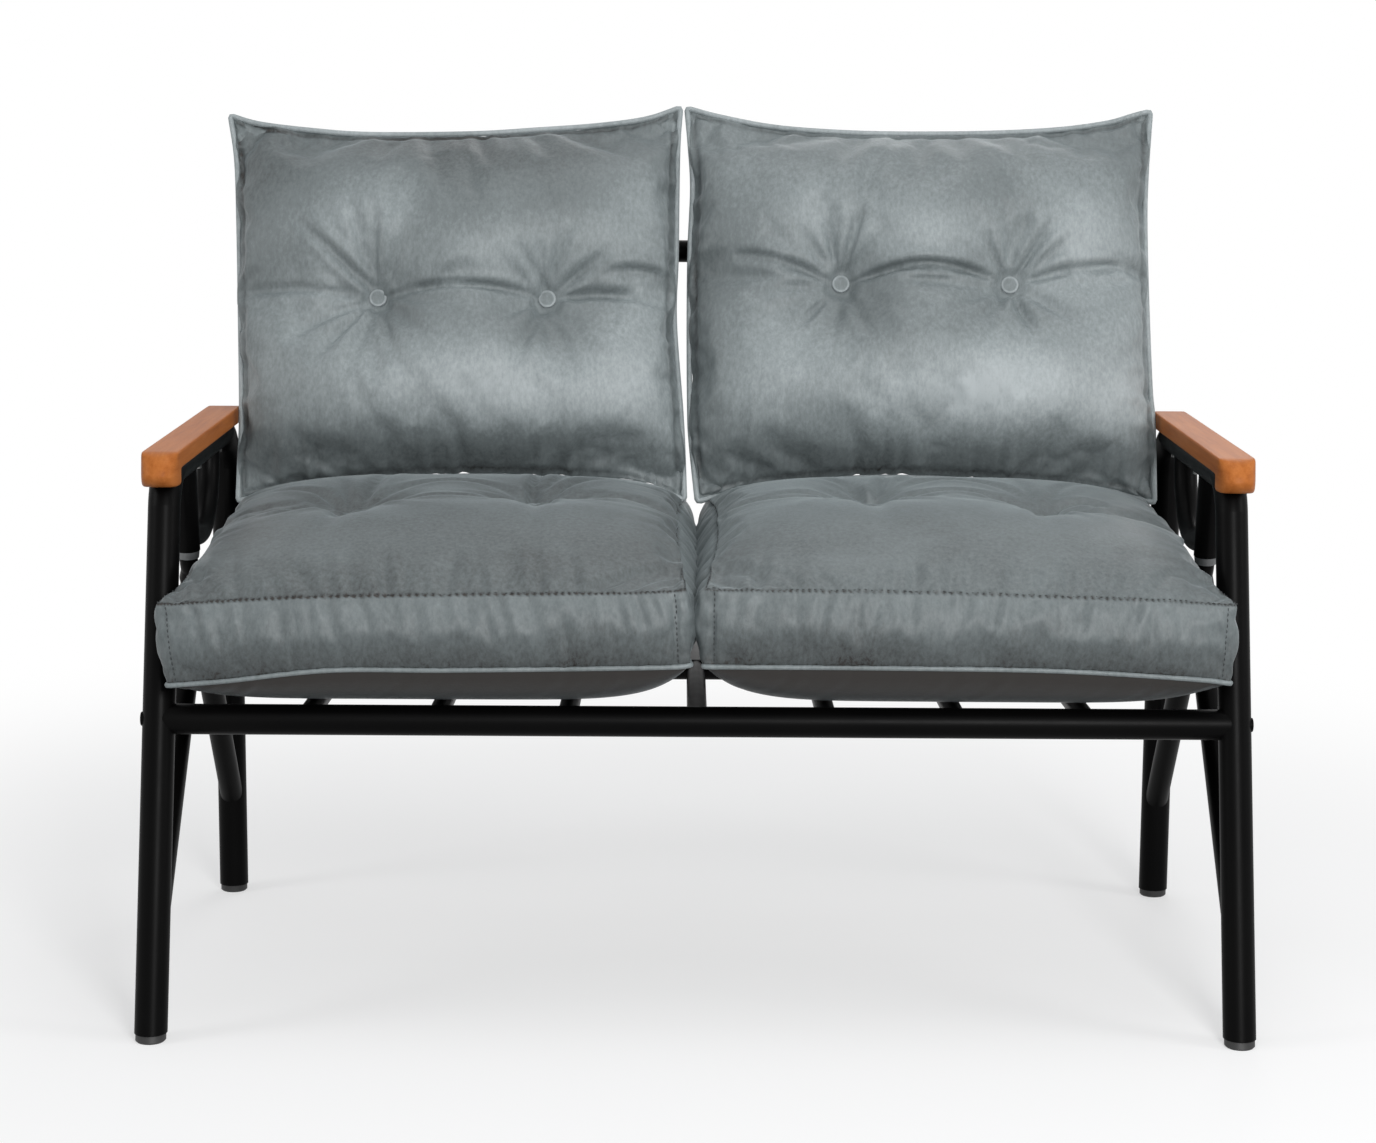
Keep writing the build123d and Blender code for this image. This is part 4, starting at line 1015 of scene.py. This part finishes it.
# Seat cushions: a top and a bottom velvet panel sewn to a strip all round, over a soft filling.
# The top seam is stitched, the bottom seam has a welt, and two blind tufts draw the top down.
# They lie loose on the slats.
seat_columns = 88
seat_rows = 78
seat_rings = 13
seat_crown = 0.0425
slat_line_y = -0.2348
slat_line_z = 0.3136
slat_slope = -0.0417
above_slats = 0.0006
tuft_dip = 0.023
strip_swell = 0.0012
tuft_width = 0.050
seat_tied_reach = 0.009
seam_height = 0.43
front_strip_y = -0.27
seat_seam_hold = 0.006
top_groove = 0.0018
top_groove_width = 0.0024
corner_groove = 0.0016
corner_groove_width = 0.0030
# painted shade: the belly of each seat darkest, and a dark line along the top seam
painted_belly_shade = -0.72
painted_seam_shade = -0.30
seat_welt_radius = 0.0025
welt_outward = 0.0008
seat_cushions = {
    "left": {
        "top_front": [
            (-0.5190, -0.2810, 0.4214), (-0.4400, -0.2830, 0.4262), (-0.3630, -0.2835, 0.4300),
            (-0.2370, -0.2835, 0.4327), (-0.1320, -0.2835, 0.4343), (-0.0500, -0.2830, 0.4362),
            (-0.0107, -0.2810, 0.4383),
        ],
        "top_rear": [
            (-0.5030, 0.2020, 0.4560), (-0.3500, 0.2050, 0.4520), (-0.2500, 0.2050, 0.4505),
            (-0.1200, 0.2050, 0.4520), (-0.0110, 0.2020, 0.4570),
        ],
        "top_left": [
            (-0.5190, -0.2810, 0.4214), (-0.5130, -0.2620, 0.4258), (-0.5055, -0.2350, 0.4305),
            (-0.4990, -0.1700, 0.4395), (-0.4945, -0.0500, 0.4500), (-0.4945, 0.0800, 0.4550),
            (-0.4985, 0.1600, 0.4560), (-0.5030, 0.2020, 0.4560),
        ],
        "top_right": [
            (-0.0107, -0.2810, 0.4383), (-0.0140, -0.2400, 0.4450), (-0.0185, -0.1600, 0.4560),
            (-0.0210, -0.0600, 0.4640), (-0.0200, 0.0600, 0.4640), (-0.0155, 0.1500, 0.4600),
            (-0.0110, 0.2020, 0.4570),
        ],
        "low_front": [
            (-0.5095, -0.2800, 0.3415), (-0.4540, -0.2820, 0.3467), (-0.3530, -0.2825, 0.3580),
            (-0.2375, -0.2825, 0.3588), (-0.0390, -0.2820, 0.3624), (-0.0068, -0.2800, 0.3644),
        ],
        "low_rear": [(-0.5020, 0.2020, 0.3700), (-0.2500, 0.2040, 0.3680), (-0.0100, 0.2020, 0.3720)],
        "low_left": [
            (-0.5095, -0.2800, 0.3415), (-0.5060, -0.2400, 0.3425), (-0.5010, -0.1500, 0.3450),
            (-0.4985, 0.0000, 0.3530), (-0.4985, 0.1200, 0.3630), (-0.5020, 0.2020, 0.3700),
        ],
        "low_right": [
            (-0.0068, -0.2800, 0.3644), (-0.0105, -0.2400, 0.3640), (-0.0150, -0.1500, 0.3620),
            (-0.0165, 0.0000, 0.3625), (-0.0150, 0.1200, 0.3670), (-0.0100, 0.2020, 0.3720),
        ],
        "bulges": (0.0085, 0.0175, 0.0030, 0.0085),
        "tufts": [(-0.3520, -0.0600), (-0.1700, -0.0350)],
        "seed": 0.6,
        "creases": [
            ((-0.360, -0.090), (-0.400, -0.070), (-0.445, -0.115), 0.0060, 0.0050, 0.7),
            ((-0.362, -0.052), (-0.400, 0.015), (-0.450, 0.040), 0.0060, 0.0060, 0.7),
            ((-0.356, -0.045), (-0.372, 0.030), (-0.393, 0.105), 0.0060, 0.0045, 0.8),
            ((-0.345, -0.042), (-0.338, 0.050), (-0.330, 0.130), 0.0070, 0.0060, 0.8),
            ((-0.338, -0.055), (-0.262, 0.090), (-0.182, -0.028), 0.0060, 0.0035, 0),
            ((-0.342, -0.085), (-0.255, -0.050), (-0.182, -0.080), 0.0060, 0.0035, 0),
            ((-0.172, -0.022), (-0.172, 0.080), (-0.168, 0.150), 0.0060, 0.0075, 0.8),
            ((-0.164, -0.024), (-0.150, 0.070), (-0.125, 0.140), 0.0060, 0.0045, 0.8),
            ((-0.158, -0.030), (-0.120, 0.080), (-0.070, 0.110), 0.0065, 0.0050, 0.8),
            ((-0.160, -0.060), (-0.120, -0.050), (-0.080, -0.080), 0.0060, 0.0050, 0.8),
            ((-0.168, -0.070), (-0.166, -0.140), (-0.163, -0.220), 0.0120, 0.0045, 0.8),
            ((-0.354, -0.095), (-0.362, -0.150), (-0.375, -0.210), 0.0120, 0.0030, 0.8),
        ],
        "corner_seams": [-0.5115, -0.0215],
        "slant": 0.30,
        # painted shade: the top panel painted darker
        "painted_top_shade": -0.30,
    },
    "right": {
        "top_front": [
            (0.0060, -0.2810, 0.4390), (0.0900, -0.2830, 0.4384), (0.2290, -0.2835, 0.4374),
            (0.3390, -0.2835, 0.4342), (0.4400, -0.2830, 0.4310), (0.5160, -0.2810, 0.4268),
        ],
        "top_rear": [
            (0.0110, 0.2020, 0.4570), (0.1200, 0.2050, 0.4520), (0.2500, 0.2050, 0.4505),
            (0.3500, 0.2050, 0.4520), (0.5030, 0.2020, 0.4560),
        ],
        "top_left": [
            (0.0060, -0.2810, 0.4390), (0.0110, -0.2400, 0.4450), (0.0170, -0.1600, 0.4560),
            (0.0205, -0.0600, 0.4640), (0.0200, 0.0600, 0.4640), (0.0155, 0.1500, 0.4600),
            (0.0110, 0.2020, 0.4570),
        ],
        "top_right": [
            (0.5160, -0.2810, 0.4268), (0.5120, -0.2620, 0.4300), (0.5055, -0.2350, 0.4340),
            (0.4990, -0.1700, 0.4415), (0.4945, -0.0500, 0.4500), (0.4945, 0.0800, 0.4550),
            (0.4985, 0.1600, 0.4560), (0.5030, 0.2020, 0.4560),
        ],
        "low_front": [
            (0.0060, -0.2800, 0.3630), (0.1940, -0.2825, 0.3632), (0.3510, -0.2825, 0.3612),
            (0.4760, -0.2820, 0.3540), (0.5120, -0.2800, 0.3495),
        ],
        "low_rear": [(0.0100, 0.2020, 0.3720), (0.2500, 0.2040, 0.3680), (0.5020, 0.2020, 0.3700)],
        "low_left": [
            (0.0060, -0.2800, 0.3630), (0.0095, -0.2400, 0.3630), (0.0145, -0.1500, 0.3620),
            (0.0165, 0.0000, 0.3625), (0.0150, 0.1200, 0.3670), (0.0100, 0.2020, 0.3720),
        ],
        "low_right": [
            (0.5120, -0.2800, 0.3495), (0.5070, -0.2400, 0.3490), (0.5010, -0.1500, 0.3500),
            (0.4985, 0.0000, 0.3550), (0.4985, 0.1200, 0.3640), (0.5020, 0.2020, 0.3700),
        ],
        "bulges": (0.0085, 0.0085, 0.0030, 0.0175),
        "tufts": [(0.1820, -0.0300), (0.3580, -0.0550)],
        "seed": 3.1,
        "creases": [
            ((0.174, -0.050), (0.120, -0.005), (0.066, -0.035), 0.0060, 0.0055, 0.7),
            ((0.176, -0.018), (0.152, 0.050), (0.122, 0.095), 0.0060, 0.0050, 0.7),
            ((0.184, -0.015), (0.200, 0.060), (0.212, 0.135), 0.0060, 0.0070, 0.8),
            ((0.190, -0.018), (0.222, 0.070), (0.250, 0.140), 0.0060, 0.0045, 0.8),
            ((0.194, -0.050), (0.270, 0.025), (0.345, -0.070), 0.0060, 0.0035, 0),
            ((0.194, -0.025), (0.270, 0.140), (0.348, -0.040), 0.0060, 0.0035, 0),
            ((0.366, -0.042), (0.390, 0.010), (0.435, -0.050), 0.0060, 0.0060, 0.7),
            ((0.362, -0.035), (0.385, 0.060), (0.420, 0.100), 0.0065, 0.0040, 0.8),
            ((0.366, -0.075), (0.405, -0.065), (0.450, -0.095), 0.0060, 0.0045, 0.7),
            ((0.352, -0.045), (0.345, 0.040), (0.332, 0.110), 0.0070, 0.0040, 0.8),
            ((0.354, -0.090), (0.346, -0.150), (0.338, -0.220), 0.0120, 0.0035, 0.8),
            ((0.180, -0.070), (0.184, -0.140), (0.186, -0.220), 0.0120, 0.0040, 0.8),
        ],
        "corner_seams": [0.0140, 0.5085],
        "slant": -0.30,
        # painted shade: the top panel painted darker
        "painted_top_shade": -0.20,
    },
}

# one stitch: a short thread that rises from the cloth and dives back into it at both ends
stitch_radius = 0.00062
stitch_length = 0.0036
stitch_pitch = 0.0054
stitch_raised = 0.0004
stitch_dive = 0.0006
above_seam = 0.0016
bpy.ops.object.select_all(action="DESELECT")
bpy.ops.mesh.primitive_cylinder_add(
    vertices=6, radius=stitch_radius, depth=stitch_length, end_fill_type="TRIFAN"
)
stitch_model = bpy.context.active_object
bpy.ops.object.mode_set(mode="EDIT")
bpy.ops.mesh.select_all(action="SELECT")
bpy.ops.mesh.bisect(plane_co=(0, 0, 0), plane_no=(0, 0, 1))
bpy.ops.object.mode_set(mode="OBJECT")
stitch_places = read_places(stitch_model)
end_share = np.abs(stitch_places[:, 2]) / (stitch_length / 2)
stitch_places[:, :2] *= (1 - 0.45 * end_share)[:, None]
stitch_places[:, 0] -= stitch_dive * end_share**2
stitch_faces = [list(face.vertices) for face in stitch_model.data.polygons]
bpy.data.objects.remove(stitch_model)


def sew(name, line, normals, body, finish):
    """A row of stitches along a line of places, each lying in the cloth."""
    run = np.concatenate([[0], np.cumsum(np.linalg.norm(np.diff(line, axis=0), axis=1))])
    places, faces = [], []
    for step in range(int(run[-1] / stitch_pitch)):
        middle = (step + 0.5) * stitch_pitch
        before, here, near = (
            np.array([np.interp(middle + shift, run, line[:, k]) for k in range(3)])
            for shift in (-0.001, 0, 0.001)
        )
        out = np.array([np.interp(middle, run, normals[:, k]) for k in range(3)])
        along = (near - before) / np.linalg.norm(near - before)
        out = out - along * (out @ along)
        out /= np.linalg.norm(out)
        start = len(stitch_places) * step
        places.append(here + stitch_places @ np.stack([out, np.cross(along, out), along]))
        faces += [[start + i for i in face] for face in stitch_faces]
    row = make_piece(name, np.vstack(places), faces, finish)
    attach(row, body)


def finder_of(points):
    """A quick finder of the nearest of some points."""
    finder = KDTree(len(points))
    for k, point in enumerate(points):
        finder.insert(point, k)
    finder.balance()
    return finder


def lay_on(line, surface, places, normals):
    """A line brought to a cushion's surface, a little raised, and the normals there."""
    found = [surface.find(point)[1] for point in line]
    out = normals[found]
    height = np.einsum("ij,ij->i", places[found] - line, out)
    return line + out * (height + stitch_raised)[:, None], out


thread, tree, shader, place = start_finish("thread")
thread_tones = [(0.3, (0.016, 0.019, 0.020)), (0.7, (0.040, 0.046, 0.048))]
coat(tree, shader, place, 700.0, thread_tones, 1500.0, (0.5, 0.75))
twist = noise(tree, stretch(tree, place, (1, 1, 3)), 2600.0, 2.0)
raise_surface(tree, shader, twist, 0.3, 0.0002)

for side, shape in seat_cushions.items():
    across = denser_at_ends(seat_columns)
    upward = denser_at_ends(seat_rows)
    edges = {}
    for level in ("top", "low"):
        for end, shares in (("front", across), ("rear", across), ("left", upward), ("right", upward)):
            edges.setdefault(level, []).append(through(shape[f"{level}_{end}"], shares))
    top = between_edges(*edges["top"], across, upward)
    low = between_edges(*edges["low"], across, upward)
    front_rise = 1 - np.maximum(0, 1 - upward / 0.4) ** 2.2
    rear_rise = np.maximum(0, 1 - np.maximum(0, (upward - 0.4) / 0.6) ** 3.5) ** 0.6
    full = fullness(across, 3.0, 0.62)[:, None] * (front_rise * rear_rise)[None, :]
    top[:, :, 2] += seat_crown * full
    for spot in shape["tufts"]:
        away = np.linalg.norm((top[:, :, :2] - np.array(spot)) / np.array((1.0, 1.15)), axis=2)
        top[:, :, 2] -= tuft_dip * np.exp(-((away / tuft_width) ** 1.3))
    flat_share = fullness(across, 6.0, 0.55)[:, None] * fullness(upward, 7.0, 0.6)[None, :]
    slat_top = slat_line_z + slat_slope * (low[:, :, 1] - slat_line_y)
    low[:, :, 2] = low[:, :, 2] * (1 - flat_share) + (slat_top + above_slats) * flat_share
    last_column, last_row = seat_columns - 1, seat_rows - 1
    ring = edge_ring(seat_columns, seat_rows)
    upper = np.array([top[k] for k in ring])
    lower = np.array([low[k] for k in ring])
    ahead_of = np.roll(upper, -1, axis=0) - np.roll(upper, 1, axis=0)
    outward = np.column_stack([ahead_of[:, 1], -ahead_of[:, 0], np.zeros(len(ring))])
    outward /= np.linalg.norm(outward, axis=1, keepdims=True)
    bulge = np.empty(len(ring))
    front_bulge, right_bulge, rear_bulge, left_bulge = shape["bulges"]
    for k, (i, j) in enumerate(ring):
        if j in (0, last_row):
            bulge[k] = (rear_bulge if j else front_bulge) * fullness(across[i], 4, 0.7)
        else:
            bulge[k] = (right_bulge if i == last_column else left_bulge) * fullness(upward[j], 4, 0.7)
    rows = [upper]
    for drop in np.linspace(0, 1, seat_rings)[1:-1]:
        swell = (bulge + strip_swell) * fullness(drop, 2.0, 0.9)
        rows.append(upper * (1 - drop) + lower * drop + outward * swell[:, None])

    top_index = np.arange(seat_columns * seat_rows).reshape(seat_columns, seat_rows)
    places = [top.reshape(-1, 3)]
    count = seat_columns * seat_rows
    ring_index = [[int(top_index[k]) for k in ring]]
    for row in rows[1:]:
        ring_index.append(list(range(count, count + len(ring))))
        places.append(row)
        count += len(ring)
    low_index = top_index + count
    places.append(low.reshape(-1, 3))
    ring_index.append([int(low_index[k]) for k in ring])
    faces = panel_faces(top_index, low_index)
    for above, below in zip(ring_index[:-1], ring_index[1:]):
        for k in range(len(ring)):
            n = (k + 1) % len(ring)
            faces.append([above[k], below[k], below[n], above[n]])
    cushion = make_piece(f"{side}_seat_pillow", np.vstack(places), faces, velvet)
    sewn = set(ring_index[0]) | {int(k) for k in low_index.ravel()}
    for spot in shape["tufts"]:
        away = np.linalg.norm(top[:, :, :2] - np.array(spot), axis=2)
        sewn |= {int(top_index[i, j]) for i, j in zip(*np.nonzero(away < seat_tied_reach))}
    for seam_x in shape["corner_seams"]:
        nearest = int(np.abs(top[:, 0, 0] - seam_x).argmin())
        sewn |= {row[nearest] for row in ring_index}
    stuff(cushion, sorted(sewn), 3.0, 0.05, 0.006)
    panel = np.zeros(len(cushion.data.vertices))
    panel[: seat_columns * seat_rows] = 1.0
    panel[low_index.ravel()] = -1.0
    cushion.data.attributes.new("panel", "FLOAT", "POINT").data.foreach_set("value", panel)
    seam_edges = set()
    for row in (ring_index[0], ring_index[-1]):
        seam_edges |= {frozenset(pair) for pair in zip(row, row[1:] + row[:1])}
    sharpen(cushion, seam_edges, 0.75)
    refine(cushion)

    places = read_places(cushion)
    normals = read_normals(cushion)
    panel = np.empty(len(places))
    cushion.data.attributes["panel"].data.foreach_get("value", panel)
    on_top = panel > 0.6
    on_strip = np.abs(panel) < 0.6
    on_belly = panel < -0.6
    depth = np.where(on_top, crease_depth(places[:, :2], shape["creases"]), 0)
    for count, spot in enumerate(shape["tufts"]):
        depth += np.where(on_top, puckers(places[:, :2], spot, 0.0024, 0.065, 2.2 + 1.7 * count), 0)
    seam_finder, welt_finder = finder_of(upper), finder_of(lower)
    from_seam = np.array([seam_finder.find(p)[2] for p in places])
    from_welt = np.array([welt_finder.find(p)[2] for p in places])
    slanted = places[:, 0] + shape["slant"] * (places[:, 2] - seam_height)
    front_facing = np.clip((-0.18 - places[:, 1]) / 0.06, 0, 1)
    side_facing = 1 - np.clip((-0.22 - places[:, 1]) / 0.03, 0, 1)
    seed = shape["seed"]
    hold = np.clip(from_seam / seat_seam_hold, 0, 1)
    welt_hold = np.clip(from_welt / seat_seam_hold, 0, 1)
    for weight, along, away, deep, reach, pitch, shift in (
        (hold * front_facing * on_top, slanted, from_seam, 0.0034, 0.055, 0.030, 0),
        (hold * front_facing * ~on_top * ~on_belly, slanted, from_seam, 0.0042, 0.036, 0.027, 1.3),
        (hold * side_facing * ~on_belly, places[:, 1], from_seam, 0.0026, 0.040, 0.034, 2.1),
        (welt_hold * front_facing * ~on_belly, places[:, 0], from_welt, 0.0020, 0.022, 0.024, 0.4),
        (welt_hold * on_belly, places[:, 0] + places[:, 1], from_welt, 0.0020, 0.025, 0.032, 4.4),
    ):
        depth += weight * gathers(along, away, deep, reach, pitch, seed + shift)
    depth += top_groove * ridge(from_seam, top_groove_width)
    front_strip = on_strip & (places[:, 1] < front_strip_y)
    for seam_x in shape["corner_seams"]:
        groove = corner_groove * ridge(places[:, 0] - seam_x, corner_groove_width)
        depth += np.where(front_strip, groove, 0)
    write_places(cushion, places - normals * depth[:, None])
    # painted shade: the top darker, the strip darker towards its bottom, the belly darkest, and a dark line
    # along the top seam
    down = from_seam / np.maximum(from_seam + from_welt, 1e-6)
    painted_strip_shade = -0.07 - 0.36 * down**1.3
    painted_panel_shade = np.where(on_top, shape["painted_top_shade"], np.where(on_belly, painted_belly_shade, painted_strip_shade))
    write_painted_light(cushion, painted_panel_shade + painted_seam_shade * ridge(from_seam, 0.0022))
    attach(cushion, f"{side}_seat_cushion")
    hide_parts(f"{side}_seat_cushion")

    low_ring = lower + outward * welt_outward
    welt = cord_along(f"{side}_seat_welt", evened(low_ring), seat_welt_radius, velvet)
    # painted highlight: the seat welt is painted a little lighter
    write_painted_light(welt, 0.10)
    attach(welt, f"{side}_seat_cushion")

    places = read_places(cushion)
    normals = read_normals(cushion)
    surface = finder_of(places)
    seam_path = np.vstack([upper, upper[:1]]) + np.array((0, 0, above_seam))
    line, out = lay_on(seam_path, surface, places, normals)
    sew(f"{side}_seat_top_stitches", line, out, f"{side}_seat_cushion", thread)
    for end, seam_x in zip(("first", "second"), shape["corner_seams"]):
        nearest = int(np.abs(top[:, 0, 0] - seam_x).argmin())
        column = np.array([row[nearest] for row in rows] + [lower[nearest]])
        column = through(column, np.linspace(0.03, 0.97, 40))
        line, out = lay_on(column, surface, places, normals)
        sew(f"{side}_seat_{end}_corner_stitches", line, out, f"{side}_seat_cushion", thread)
